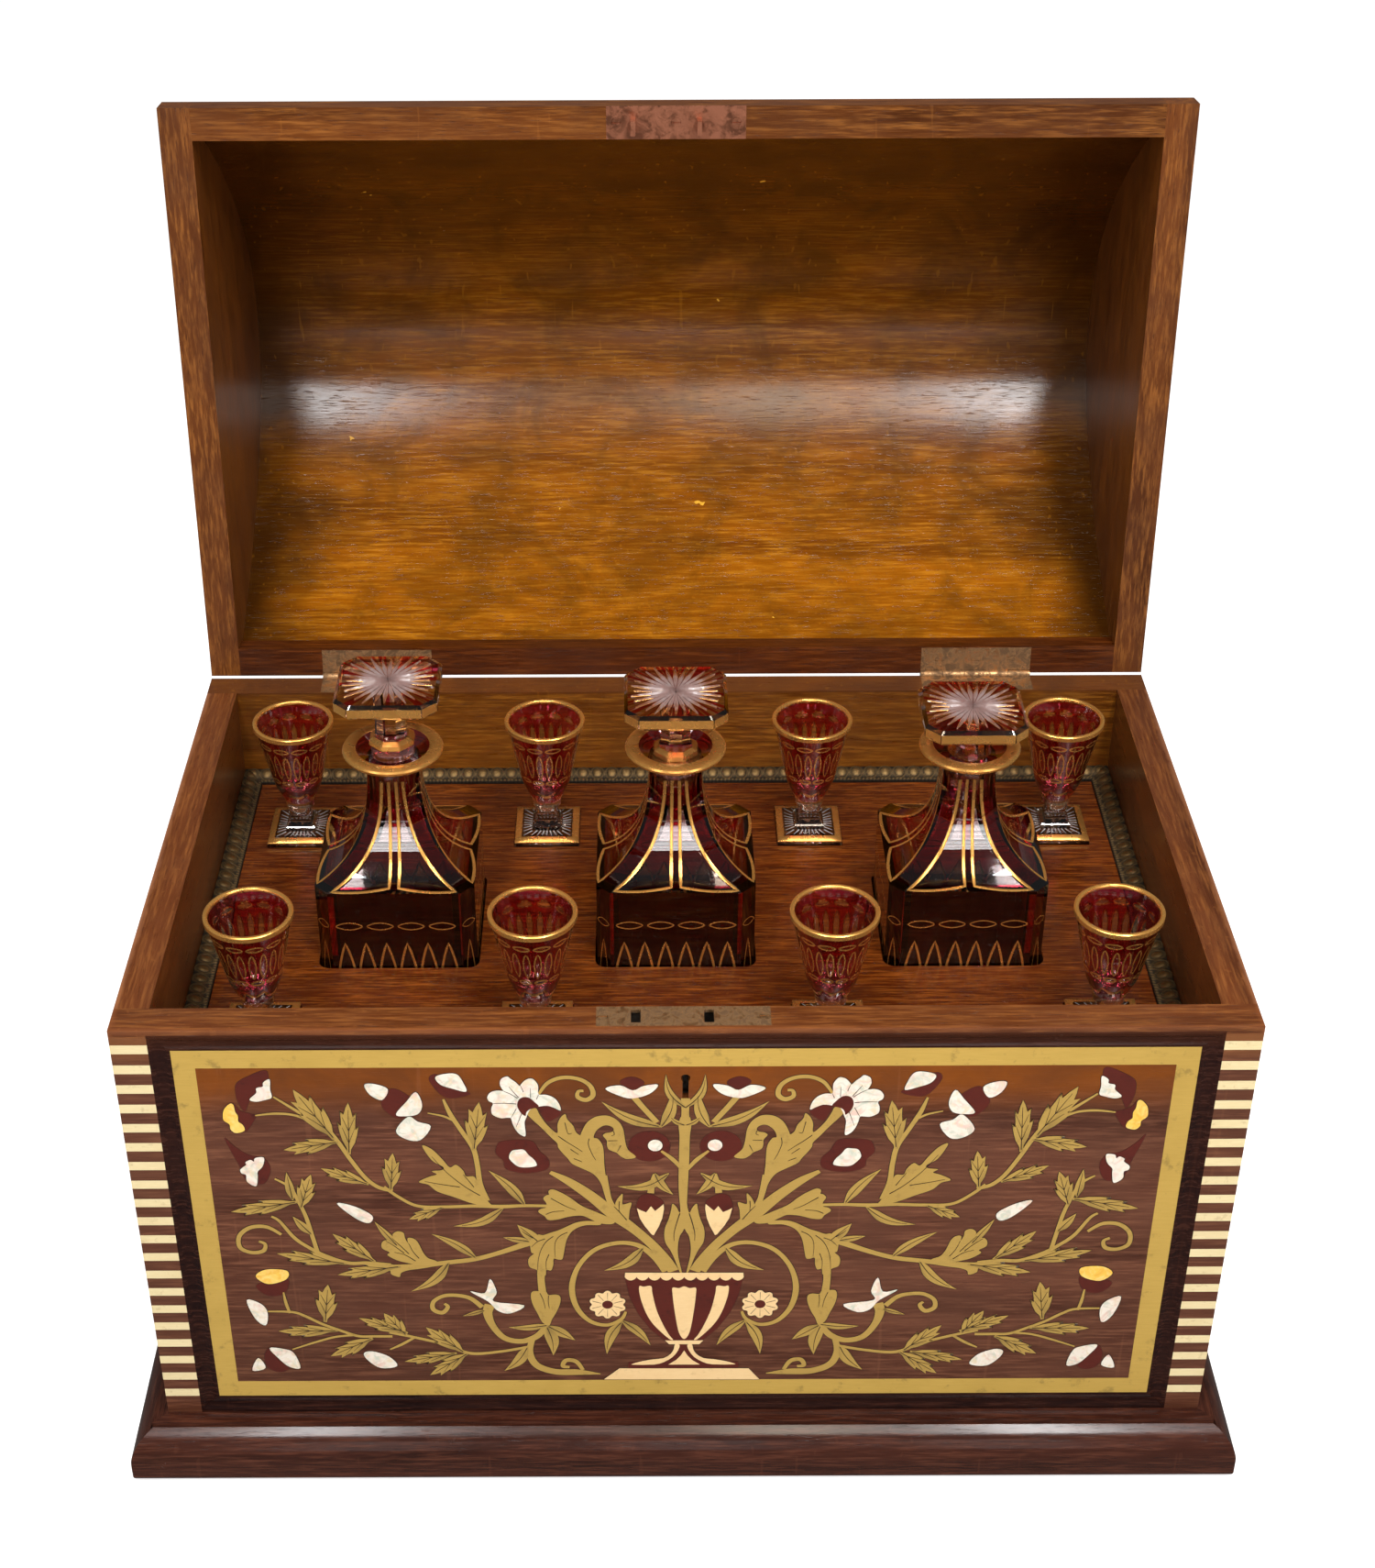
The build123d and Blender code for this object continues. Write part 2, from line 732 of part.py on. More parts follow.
# Hinges
def hinge_leaf(x, on_lid):
    """One leaf with its knuckles, every other one of the barrel's."""
    low = lid_floor if on_lid else case_height - leaf_thickness
    high = low + leaf_thickness
    half = hinge_length / 2
    leaf = block((x - half, half_depth - leaf_width, low), (x + half, half_depth, high))
    leaf -= barrel_room(x)
    step = hinge_length / knuckle_count
    for k in range(1 if on_lid else 0, knuckle_count, 2):
        start = x - half + k * step + (knuckle_gap / 2 if k else 0)
        end = x - half + (k + 1) * step - (knuckle_gap / 2 if k < knuckle_count - 1 else 0)
        leaf += block((start, hinge_axis_y - 2 * knuckle_radius, low), (end, hinge_axis_y, high))
        leaf += rod((start, hinge_axis_y, hinge_axis_z), (end, hinge_axis_y, hinge_axis_z), knuckle_radius)
    bore = hinge_pin_radius + running_clearance
    start, end = x - half - overrun, x + half + overrun
    leaf -= rod((start, hinge_axis_y, hinge_axis_z), (end, hinge_axis_y, hinge_axis_z), bore)
    holes = at_lid(hinge_screw_spots, screw_hole()) if on_lid else at_rim(hinge_screw_spots, screw_hole())
    for hole in holes:
        leaf -= hole
    return leaf


def hinge_pin(x):
    """The pin that runs through the barrel."""
    half = hinge_length / 2
    return rod((x - half, hinge_axis_y, hinge_axis_z), (x + half, hinge_axis_y, hinge_axis_z), hinge_pin_radius)


# Decanters, drawn standing on Z = 0
def shoulder_side(half, neck_half, foot_z, neck_z, top_z, foot):
    """Half of a decanter's side view: straight wall, swept shoulder and neck, out to the mid line."""
    fall = half - neck_half
    climb = neck_z - foot_z
    sweep = Bezier(
        (half, 0, foot_z),
        (half - fall * shoulder_middle_share, 0, foot_z + climb * shoulder_low_share),
        (neck_half + fall * shoulder_neck_share, 0, foot_z + climb * shoulder_high_share),
        (neck_half, 0, neck_z),
    )
    edges = [
        Line((0, 0, foot), (half, 0, foot)),
        Line((half, 0, foot), (half, 0, foot_z)),
        sweep,
        Line((neck_half, 0, neck_z), (neck_half, 0, top_z)),
        Line((neck_half, 0, top_z), (0, 0, top_z)),
        Line((0, 0, top_z), (0, 0, foot)),
    ]
    side = make_face(edges)
    return side + mirror(side, about=Plane.YZ)


def eight_sided(half, neck_half, cut, foot_z, neck_z, top_z, foot, reach):
    """The common part of four crossing slabs: a square body with cut corners and a swept shoulder."""
    root = math.sqrt(0.5)
    flat = shoulder_side(half, neck_half, foot_z, neck_z, top_z, foot)
    corner_half, corner_neck = (2 * half - cut) * root, (2 * neck_half - cut) * root
    corner = shoulder_side(corner_half, corner_neck, foot_z, neck_z, top_z, foot)
    shape = extrude(flat, amount=reach, both=True)
    shape &= Rot(0, 0, 90) * extrude(flat, amount=reach, both=True)
    shape &= Rot(0, 0, 45) * extrude(corner, amount=reach, both=True)
    shape &= Rot(0, 0, -45) * extrude(corner, amount=reach, both=True)
    return shape


def decanter():
    """One square decanter with a swept shoulder, an eight-sided neck and a flat round lip."""
    neck_z = decanter_body_height + decanter_neck_height
    neck_half = decanter_neck_width / 2
    outside = eight_sided(
        decanter_side / 2, neck_half, decanter_corner_cut,
        decanter_body_height, neck_z, neck_z + lip_thickness, 0, decanter_side,
    )
    lip_radius = lip_diameter / 2
    lip = turned([
        (0, neck_z - lip_thickness),
        (neck_half, neck_z - lip_thickness),
        (neck_half, neck_z),
        (neck_half + lip_rounding, neck_z + lip_height / 3),
        (lip_radius - lip_thickness, lip_top - lip_thickness),
        (lip_radius, lip_top - lip_thickness + lip_rounding / 2),
        (lip_radius, lip_top - lip_rounding),
        (lip_radius - lip_rounding, lip_top),
        (0, lip_top),
    ])
    bore = bore_diameter / 2
    cavity = eight_sided(
        decanter_side / 2 - decanter_wall, bore, decanter_corner_cut,
        decanter_body_height - decanter_wall, neck_z - decanter_neck_height / 3,
        bore_shoulder - bore_straight_height + overrun, decanter_base_thickness, decanter_side,
    )
    passage = turned([
        (0, bore_shoulder - bore_straight_height),
        (bore, bore_shoulder - bore_straight_height),
        (bore, bore_shoulder),
        (bore_top_diameter / 2, bore_top),
        (mouth_diameter / 2, lip_top),
        (mouth_diameter / 2, lip_top + overrun),
        (0, lip_top + overrun),
    ])
    return outside + lip - cavity - passage


def bore_radius(z):
    """The bore's radius at a height in the decanter."""
    low, high = bore_diameter / 2, bore_top_diameter / 2
    share = min(max((z - bore_shoulder) / bore_taper_height, 0), 1)
    return low + (high - low) * share


def stopper(rise):
    """One cut stopper: a tapered plug, a faceted collar, an eight-sided stem and a bevelled plate."""
    plug_top = bore_top + rise
    plug_low = plug_top - stopper_plug_height
    seat_z = min(plug_top, bore_top)
    seat = bore_radius(seat_z) - stopper_fit
    top_radius = seat + (plug_top - seat_z) * stopper_plug_taper_share
    low_radius = seat - (seat_z - plug_low) * stopper_plug_taper_share
    plug = turned([
        (0, plug_low),
        (low_radius - stopper_tip_rounding, plug_low),
        (low_radius, plug_low + stopper_tip_rounding),
        (top_radius, plug_top),
        (0, plug_top),
    ])
    stem_foot = plug_top + stopper_collar_height
    collar_width = 2 * (top_radius - stopper_collar_step)
    collar = octagon_frustum(collar_width, stopper_stem_width, plug_top, stem_foot)
    stem_middle = stem_foot + stopper_stem_height / 2
    stem_top = stem_foot + stopper_stem_height
    waist = stopper_stem_width - stopper_stem_flare
    stem = octagon_frustum(stopper_stem_width, waist, stem_foot, stem_middle)
    stem += octagon_frustum(waist, stopper_stem_width, stem_middle, stem_top)
    return plug + collar + stem + stopper_plate(stem_top)


def stopper_plate(low):
    """The stopper's square plate with cut corners, bevelled above and below."""
    full = cut_square(stopper_plate_side, stopper_corner_cut)
    small_side = stopper_plate_side - 2 * stopper_bevel
    small = cut_square(small_side, stopper_corner_cut)
    high = low + stopper_plate_thickness
    lower = loft([Pos(0, 0, low) * small, Pos(0, 0, low + stopper_bevel) * full], ruled=True)
    middle = Pos(0, 0, low + stopper_bevel) * extrude(full, amount=stopper_plate_thickness - 2 * stopper_bevel)
    upper = loft([Pos(0, 0, high - stopper_bevel) * full, Pos(0, 0, high) * small], ruled=True)
    return lower + middle + upper


def cut_square(side, cut):
    """A square outline with its corners cut off."""
    half, short = side / 2, side / 2 - cut
    corners = [(half, short), (short, half)]
    points = []
    for turn in range(4):
        for x, y in corners:
            for _ in range(turn):
                x, y = -y, x
            points.append((x, y))
    return make_face(Polyline(*points, close=True))


# Glasses, drawn standing on Z = 0
def glass():
    """One small glass: a bucket bowl on a stepped square stem and a bevelled square foot."""
    foot_top = glass_foot_edge + glass_foot_rise
    block_top = foot_top + glass_block_step
    slope_top = block_top + glass_block_slope
    stem_top = slope_top + glass_stem_height
    inner_foot = glass_foot_side - 2 * glass_foot_border
    shape = square_frustum(glass_foot_side, glass_foot_side, 0, glass_foot_edge)
    shape += square_frustum(glass_foot_side, inner_foot, glass_foot_edge, foot_top)
    shape += square_frustum(glass_block_side, glass_block_side, foot_top, block_top)
    shape += square_frustum(glass_block_side, glass_stem_side, block_top, slope_top)
    shape += square_frustum(glass_stem_side, glass_stem_side, slope_top, stem_top)
    shape += square_frustum(glass_collar_side, glass_stem_side, stem_top, glass_bowl_base + glass_bowl_floor / 2)
    bowl_height = glass_height - glass_bowl_base
    outer = [
        (glass_rim_radius * r, glass_bowl_base + bowl_height * h)
        for r, h in zip(bowl_radius_shares, bowl_height_shares)
    ]
    outer.append((glass_rim_radius, glass_height))
    inner = [(r - glass_wall, z) for r, z in reversed(outer[2:])]
    floor = glass_bowl_base + glass_bowl_floor
    inner += [(outer[1][0] - glass_wall - glass_wall, floor), (0, floor)]
    shape += turned([(0, glass_bowl_base)] + outer + inner)
    return shape


# Build every piece at its place
nodes = {
    "case_front": front_board(),
    "case_back": back_board(),
    "case_left": side_board(-1),
    "case_right": side_board(1),
    "case_bottom": bottom_board(),
    "front_panel": front_panel(),
    "gilt_frame": gilt_frame(),
    "dark_frame": dark_frame(),
    "tray_board": tray_board(),
    "tray_bearers": ledgers(tray_top - tray_thickness),
    "decanter_shelf": decanter_shelf(),
    "shelf_bearers": ledgers(shelf_top - shelf_thickness),
    "lock_case": lock_case_solid(),
    "lock_plate": lock_plate_solid(),
    "lock_bolt": bolt_solid(),
    "lock_screws": Compound(children=at_rim(lock_screw_spots, screw())),
    "hinge_screws_case": Compound(children=at_rim(hinge_screw_spots, screw())),
}
nodes["bone_slips"], nodes["wood_slips"] = corner_bands()
base_bars = mitred_loop(
    base_section(), base_projection, case_width + 2 * base_projection, case_depth + 2 * base_projection
)
trim_bars = mitred_loop(
    trim_section(), trim_width, inner_width - 2 * tray_clearance, inner_depth - 2 * tray_clearance
)
for name in base_bars:
    nodes["base_" + name] = base_bars[name]
    nodes["trim_" + name] = Pos(0, 0, tray_top) * trim_bars[name]

strike_plate, strike_staples = strike_solids()
lid_nodes = {
    "lid_front_rail": front_rail(),
    "lid_back_rail": back_rail(),
    "lid_gable_left": gable(-1),
    "lid_gable_right": gable(1),
    "lid_vault": vault(),
    "strike_plate": strike_plate,
    "strike_staples": strike_staples,
    "strike_screws": Compound(children=at_lid(strike_screw_spots, screw())),
    "hinge_screws_lid": Compound(children=at_lid(hinge_screw_spots, screw())),
}
for name, x in zip(("left", "right"), hinge_centres):
    nodes["hinge_leaf_case_" + name] = hinge_leaf(x, on_lid=False)
    nodes["hinge_pin_" + name] = hinge_pin(x)
    lid_nodes["hinge_leaf_lid_" + name] = hinge_leaf(x, on_lid=True)
for name, shape in lid_nodes.items():
    nodes[name] = shape.rotate(hinge_line, -lid_open_angle)

bottle = decanter()
for number, (x, rise) in enumerate(zip(decanter_xs, stopper_rises), start=1):
    place = Pos(x, 0, shelf_top)
    nodes[f"decanter_{number}"] = place * bottle
    nodes[f"stopper_{number}"] = place * stopper(rise)
cup = glass()
for number, (x, y) in enumerate(glass_spots, start=1):
    nodes[f"glass_{number}"] = Pos(x, y, glass_floor) * cup

os.makedirs("parts", exist_ok=True)
for name, shape in nodes.items():
    export_step(shape, f"parts/{name}.step")
print(len(nodes), "nodes written")
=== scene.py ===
"""A domed liqueur cabinet with its decanters and glasses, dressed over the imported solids."""
import logging
import math
from collections.abc import Callable, Sequence
from dataclasses import dataclass
from enum import Enum
from functools import cache

import bmesh
import bpy
import numpy as np
from mathutils import Matrix, Vector


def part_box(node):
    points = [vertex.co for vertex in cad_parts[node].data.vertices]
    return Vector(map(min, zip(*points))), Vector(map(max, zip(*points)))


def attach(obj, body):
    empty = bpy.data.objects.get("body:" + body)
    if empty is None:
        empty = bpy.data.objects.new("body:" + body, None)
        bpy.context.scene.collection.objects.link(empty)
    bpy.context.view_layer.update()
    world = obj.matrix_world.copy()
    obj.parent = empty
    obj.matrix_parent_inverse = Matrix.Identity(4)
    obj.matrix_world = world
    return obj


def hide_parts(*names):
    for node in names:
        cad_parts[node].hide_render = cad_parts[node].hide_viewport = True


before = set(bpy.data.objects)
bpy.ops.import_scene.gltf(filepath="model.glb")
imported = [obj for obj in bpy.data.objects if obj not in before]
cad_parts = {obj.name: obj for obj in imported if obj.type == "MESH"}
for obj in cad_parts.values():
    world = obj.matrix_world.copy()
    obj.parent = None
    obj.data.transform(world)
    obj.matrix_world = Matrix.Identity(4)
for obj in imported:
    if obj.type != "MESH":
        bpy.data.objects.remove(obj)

MM = 0.001
Array = np.ndarray
Colour = tuple[float, float, float]
Place = Callable[[Array, Array, Array], Array]
Socket = bpy.types.NodeSocket
Numbers = Sequence[float] | Array
Points = Sequence[Sequence[float]] | Array
log = logging.getLogger("liqueur_cabinet")


# Mesh building.

def smooth(t: Array) -> Array:
    """Returns 0 below 0, 1 above 1 and an even S-curve between them."""
    t = np.clip(t, 0.0, 1.0)
    return t * t * (3.0 - 2.0 * t)


def bezier(controls: Points, count: int) -> Array:
    """Points on a cubic curve: each control point weighted by its Bernstein term.

    Args:
        controls: four control points.
        count: how many points, evenly spaced in the curve's parameter.

    Returns:
        An array of count points.
    """
    t = np.linspace(0.0, 1.0, count)[:, None]
    p = np.asarray(controls, float)
    return ((1 - t) ** 3 * p[0] + 3 * (1 - t) ** 2 * t * p[1] + 3 * (1 - t) * t ** 2 * p[2]
            + t ** 3 * p[3])


def flowing(points: Points, count: int, closed: bool = False) -> Array:
    """A smooth curve through points: Hermite spans, each slope half the step between neighbours.

    Args:
        points: the points that it passes through, of any dimension.
        count: how many points are returned.
        closed: whether the last point runs on to the first.

    Returns:
        An array of count points.
    """
    p = np.asarray(points, float)
    if closed:
        p = np.vstack([p, p[:1]])
    before = np.vstack([p[-2:-1] if closed else p[:1], p[:-1]])
    after = np.vstack([p[1:], p[1:2] if closed else p[-1:]])
    slope = (after - before) / 2
    u = np.linspace(0.0, len(p) - 1.0, count + 1 if closed else count)
    u = u[:-1] if closed else u
    k = np.minimum(u.astype(int), len(p) - 2)
    t = (u - k)[:, None]
    return ((2 * t ** 3 - 3 * t ** 2 + 1) * p[k] + (t ** 3 - 2 * t ** 2 + t) * slope[k]
            + (3 * t ** 2 - 2 * t ** 3) * p[k + 1] + (t ** 3 - t ** 2) * slope[k + 1])


def turned_about(points: Array, centre: Sequence[float], turn: float) -> Array:
    """Points turned about a vertical axis.

    Args:
        points: the points, x, y and z last.
        centre: where the axis stands.
        turn: the turn in radians.

    Returns:
        The turned points.
    """
    c, s = math.cos(turn), math.sin(turn)
    out = np.array(points, float)
    x, y = points[..., 0], points[..., 1]
    out[..., 0] = centre[0] + c * x - s * y
    out[..., 1] = centre[1] + s * x + c * y
    return out


class Shell:
    """Grids of points in millimetres that are joined into one piece."""

    def __init__(self, name: str) -> None:
        """Starts an empty piece of that name."""
        self.name = name
        self.points: list[Array] = []
        self.quads: list[Array] = []
        self.polygons: list[list[int]] = []
        self.flash: list[Array] = []
        self.count = 0

    def grid(self, points: Array, rows: bool = False, cols: bool = False,
             flash: Array | float = 0.0, flip: bool = False) -> "Shell":
        """Adds one grid of quads, whose outward side is the column way crossed with the row way.

        Args:
            points: the grid, rows by columns by 3.
            rows: whether the last row joins the first.
            cols: whether the last column joins the first.
            flash: how much coloured glass covers each point, from 0 to 1.
            flip: whether the grid is turned inside out.

        Returns:
            This shell.
        """
        points = points[:, ::-1] if flip else points
        r, c = points.shape[:2]
        flash = np.broadcast_to(flash, (r, c))
        flash = flash[:, ::-1] if flip else flash
        index = np.arange(r * c).reshape(r, c) + self.count
        if rows:
            index = np.vstack([index, index[:1]])
        if cols:
            index = np.hstack([index, index[:, :1]])
        corners = (index[:-1, :-1], index[:-1, 1:], index[1:, 1:], index[1:, :-1])
        self.quads.append(np.stack(corners, -1).reshape(-1, 4))
        self.points.append(points.reshape(-1, 3))
        self.flash.append(flash.reshape(-1))
        self.count += r * c
        return self

    def bead(self, path: Array, width: Array | float, lift: float, place: Place,
             closed: bool = False, flash: Array | float = 0.0) -> "Shell":
        """Adds a low three-sided bead along a path on a surface, drawn to a point at each open end.

        Args:
            path: points (a, s) on the surface, in millimetres along it.
            width: the bead's width, one value or one for each point.
            lift: the height of its crest over the surface.
            place: takes a, s and a height over the surface to points in space.
            closed: whether the path is a loop.
            flash: how much coloured glass covers each point.

        Returns:
            This shell.
        """
        if closed:
            step = np.roll(path, -1, 0) - np.roll(path, 1, 0)
        else:
            step = np.gradient(path, axis=0)
        step /= np.maximum(np.linalg.norm(step, axis=1, keepdims=True), 1e-9)
        side = np.stack([-step[:, 1], step[:, 0]], -1) * np.reshape(width, (-1, 1)) / 2
        track = np.stack([path + side, path, path - side], 1)
        height = np.broadcast_to(np.array([0.02, lift, 0.02]), track.shape[:2])
        if not closed:
            first, last = (np.repeat(path[k][None, None], 3, 1) for k in (0, -1))
            track = np.concatenate([first, track, last])
            height = np.pad(height, ((1, 1), (0, 0)), constant_values=0.02)
        points = place(track[..., 0], track[..., 1], height)
        return self.grid(points, rows=closed, cols=True, flash=flash)

    def lid(self, ring: Array, up: bool, flash: Array | float = 0.0) -> "Shell":
        """Closes a ring that runs anticlockwise, seen from above, with a fan to its middle point.

        Args:
            ring: the ring's points.
            up: whether the fan faces up.
            flash: how much coloured glass covers it.

        Returns:
            This shell.
        """
        middle = np.broadcast_to(ring.mean(0), ring.shape)
        return self.grid(np.stack([ring, middle] if up else [middle, ring]), cols=True, flash=flash)

    def polygon(self, ring: Array, flash: Array | float = 0.0) -> "Shell":
        """Adds one flat face with many corners, which run anticlockwise seen from its outer side.

        Args:
            ring: the corners.
            flash: the attribute's value at each corner.

        Returns:
            This shell.
        """
        self.polygons.append(list(range(self.count, self.count + len(ring))))
        self.points.append(ring)
        self.flash.append(np.broadcast_to(flash, len(ring)))
        self.count += len(ring)
        return self

    def piece(self, look: str, body: str, slot: str, replaces: Sequence[str] = (),
              crease: float = 35.0, weld: float = 0.002) -> bpy.types.Object:
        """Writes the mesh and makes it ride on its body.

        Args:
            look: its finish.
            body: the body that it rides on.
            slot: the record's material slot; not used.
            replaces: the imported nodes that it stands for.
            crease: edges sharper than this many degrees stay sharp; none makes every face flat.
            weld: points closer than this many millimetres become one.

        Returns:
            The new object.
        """
        mesh = bpy.data.meshes.new(self.name)
        faces = np.vstack(self.quads).tolist() if self.quads else []
        mesh.from_pydata((np.vstack(self.points) * MM).tolist(), [], faces + self.polygons)
        attribute = mesh.attributes.new("flash", "FLOAT", "POINT")
        attribute.data.foreach_set("value", np.concatenate(self.flash).astype(np.float32))
        work = bmesh.new()
        work.from_mesh(mesh)
        bmesh.ops.remove_doubles(work, verts=work.verts, dist=weld * MM)
        bmesh.ops.dissolve_degenerate(work, edges=work.edges, dist=weld * MM / 4)
        work.to_mesh(mesh)
        work.free()
        mesh.polygons.foreach_set("use_smooth", np.full(len(mesh.polygons), crease > 0))
        mesh.set_sharp_from_angle(angle=math.radians(crease))
        mesh.materials.append(finish(look))
        made = bpy.data.objects.new(self.name, mesh)
        bpy.context.scene.collection.objects.link(made)
        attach(made, body)
        if replaces:
            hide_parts(*replaces)
        log.info("%s rides on %s with %d faces", self.name, body, len(mesh.polygons))
        return made


def bearings(count: int) -> Array:
    """Even bearings once round, in radians, from 0."""
    return np.linspace(0.0, 2 * math.pi, count, endpoint=False)


def revolved(profile: Points, centre: Sequence[float], columns: int) -> Array:
    """A profile of (radius, height) carried round a vertical axis: (r cos a, r sin a, z).

    Args:
        profile: the profile's points, from the bottom up for an outer surface.
        centre: where the axis stands and the height that the profile starts from.
        columns: how many steps make the whole turn.

    Returns:
        A grid with one row for each point of the profile.
    """
    p = np.asarray(profile, float)
    angle = bearings(columns)
    r, z = p[:, :1], p[:, 1:]
    return np.stack([centre[0] + r * np.cos(angle), centre[1] + r * np.sin(angle),
                     centre[2] + z + 0 * angle], -1)


def ring_at(middle: Sequence[float], radius: Array | float, angle: Array, z: float) -> Array:
    """A ring of points about a middle: one radius for all bearings or one for each, at height z."""
    x, y = middle
    return np.stack([x + radius * np.cos(angle), y + radius * np.sin(angle), 0 * angle + z], -1)


def on_spoke(middle: Sequence[float], angle: float) -> Place:
    """A function that puts (across, along, height) on a level top, along a bearing from its middle.

    Args:
        middle: the middle's x, y and z.
        angle: the bearing in radians.

    Returns:
        The function.
    """
    x, y, z = middle

    def place(a: Array, s: Array, height: Array) -> Array:
        """Puts points on the top at a height over it."""
        return np.stack([x + s * math.cos(angle) - a * math.sin(angle),
                         y + s * math.sin(angle) + a * math.cos(angle), z + height], -1)
    return place


# Finishes.

class Tree:
    """Adds shader nodes to one tree in a compact way."""

    def __init__(self, tree: bpy.types.NodeTree) -> None:
        """Wraps a node tree."""
        self.tree = tree

    def wire(self, value: object, node: bpy.types.Node, key: str | int) -> None:
        """Links another node's output to an input, or sets the input's plain value.

        Args:
            value: the output or the plain value.
            node: the node that takes it.
            key: the input's name or number.
        """
        if isinstance(value, Socket):
            self.tree.links.new(value, node.inputs[key])
        else:
            node.inputs[key].default_value = value

    def add(self, kind: str, sockets: dict | None = None, **settings: object) -> bpy.types.Node:
        """Adds a node and fills its inputs.

        Args:
            kind: the node's type, without its ShaderNode prefix.
            sockets: input names or numbers to a value or to another node's output.
            settings: the node's own properties.

        Returns:
            The node.
        """
        node = self.tree.nodes.new("ShaderNode" + kind)
        for name, value in settings.items():
            setattr(node, name, value)
        for key, value in (sockets or {}).items():
            self.wire(value, node, key)
        return node

    def maths(self, operation: str, *values: object, clamp: bool = False) -> Socket:
        """Adds a Math node and returns its output."""
        node = self.add("Math", dict(enumerate(values)), operation=operation, use_clamp=clamp)
        return node.outputs[0]

    def times(self, first: object, second: object, clamp: bool = False) -> Socket:
        """Multiplies two values and returns the product."""
        return self.maths("MULTIPLY", first, second, clamp=clamp)

    def band(self, value: object, low: float, high: float) -> Socket:
        """Returns 0 where value is below low, 1 above high and a smooth step between them."""
        return self.add("MapRange", {"Value": value, "From Min": low, "From Max": high},
                        interpolation_type="SMOOTHSTEP").outputs[0]

    def blend(self, share: object, first: object, second: object, how: str = "MIX") -> Socket:
        """Mixes two colours.

        Args:
            share: how much of the second one.
            first: a colour or an output.
            second: a colour or an output.
            how: the kind of mix.

        Returns:
            The mixed colour's output.
        """
        node = self.add("Mix", {0: share}, data_type="RGBA", blend_type=how)
        for slot, value in ((6, first), (7, second)):
            self.wire(value if isinstance(value, Socket) else (*value, 1.0), node, slot)
        return node.outputs[2]

    def noise(self, vector: object, scale: float, detail: float = 3.0, rough: float = 0.55,
              twist: float = 0.0) -> Socket:
        """Adds a Noise Texture and returns its value."""
        return self.add("TexNoise", {"Vector": vector, "Scale": scale, "Detail": detail,
                                     "Roughness": rough, "Distortion": twist}).outputs["Fac"]

    def put(self, name: str, sockets: dict) -> bpy.types.Node:
        """Adds one of the shared effect groups with its own values."""
        return self.add("Group", sockets, node_tree=bpy.data.node_groups[name])


class Surface(Tree):
    """A new material's tree, with its shader and the object's own coordinates."""

    def __init__(self, name: str) -> None:
        """Starts the material of that name."""
        self.material = bpy.data.materials.new(name)
        self.material.use_nodes = True
        super().__init__(self.material.node_tree)
        self.shader = self.tree.nodes["Principled BSDF"]
        self.at = self.add("TexCoord").outputs["Object"]

    def feed(self, key: str, value: object) -> None:
        """Gives one of the shader's inputs a value or another node's output."""
        self.wire(value, self.shader, key)

    def bump(self, height: Socket, depth: float) -> None:
        """Feeds a height to the shader's normal, with a depth in millimetres."""
        node = self.add("Bump", {"Height": height, "Strength": 1.0, "Distance": depth * MM})
        self.feed("Normal", node.outputs[0])


class Grain(Enum):
    """Which way the wood's fibres run."""

    ALONG_X = (0.07, 1.0, 1.0)
    ALONG_Y = (1.0, 0.07, 1.0)
    ALONG_Z = (1.0, 1.0, 0.07)


def start_group(name: str, inputs: dict[str, tuple[str, object]], outputs: Sequence[str]) \
        -> tuple[Tree, bpy.types.Node, bpy.types.Node]:
    """Starts a shader node group.

    Args:
        name: the group's name.
        inputs: each input's name to its kind and default value.
        outputs: the names of its outputs, all plain values.

    Returns:
        The tree, its input node and its output node.
    """
    group = bpy.data.node_groups.new(name, "ShaderNodeTree")
    for key, (kind, value) in inputs.items():
        made = group.interface.new_socket(name=key, in_out="INPUT", socket_type="NodeSocket" + kind)
        if value is not None:
            made.default_value = value
    for key in outputs:
        group.interface.new_socket(name=key, in_out="OUTPUT", socket_type="NodeSocketFloat")
    tree = Tree(group)
    return tree, group.nodes.new("NodeGroupInput"), group.nodes.new("NodeGroupOutput")


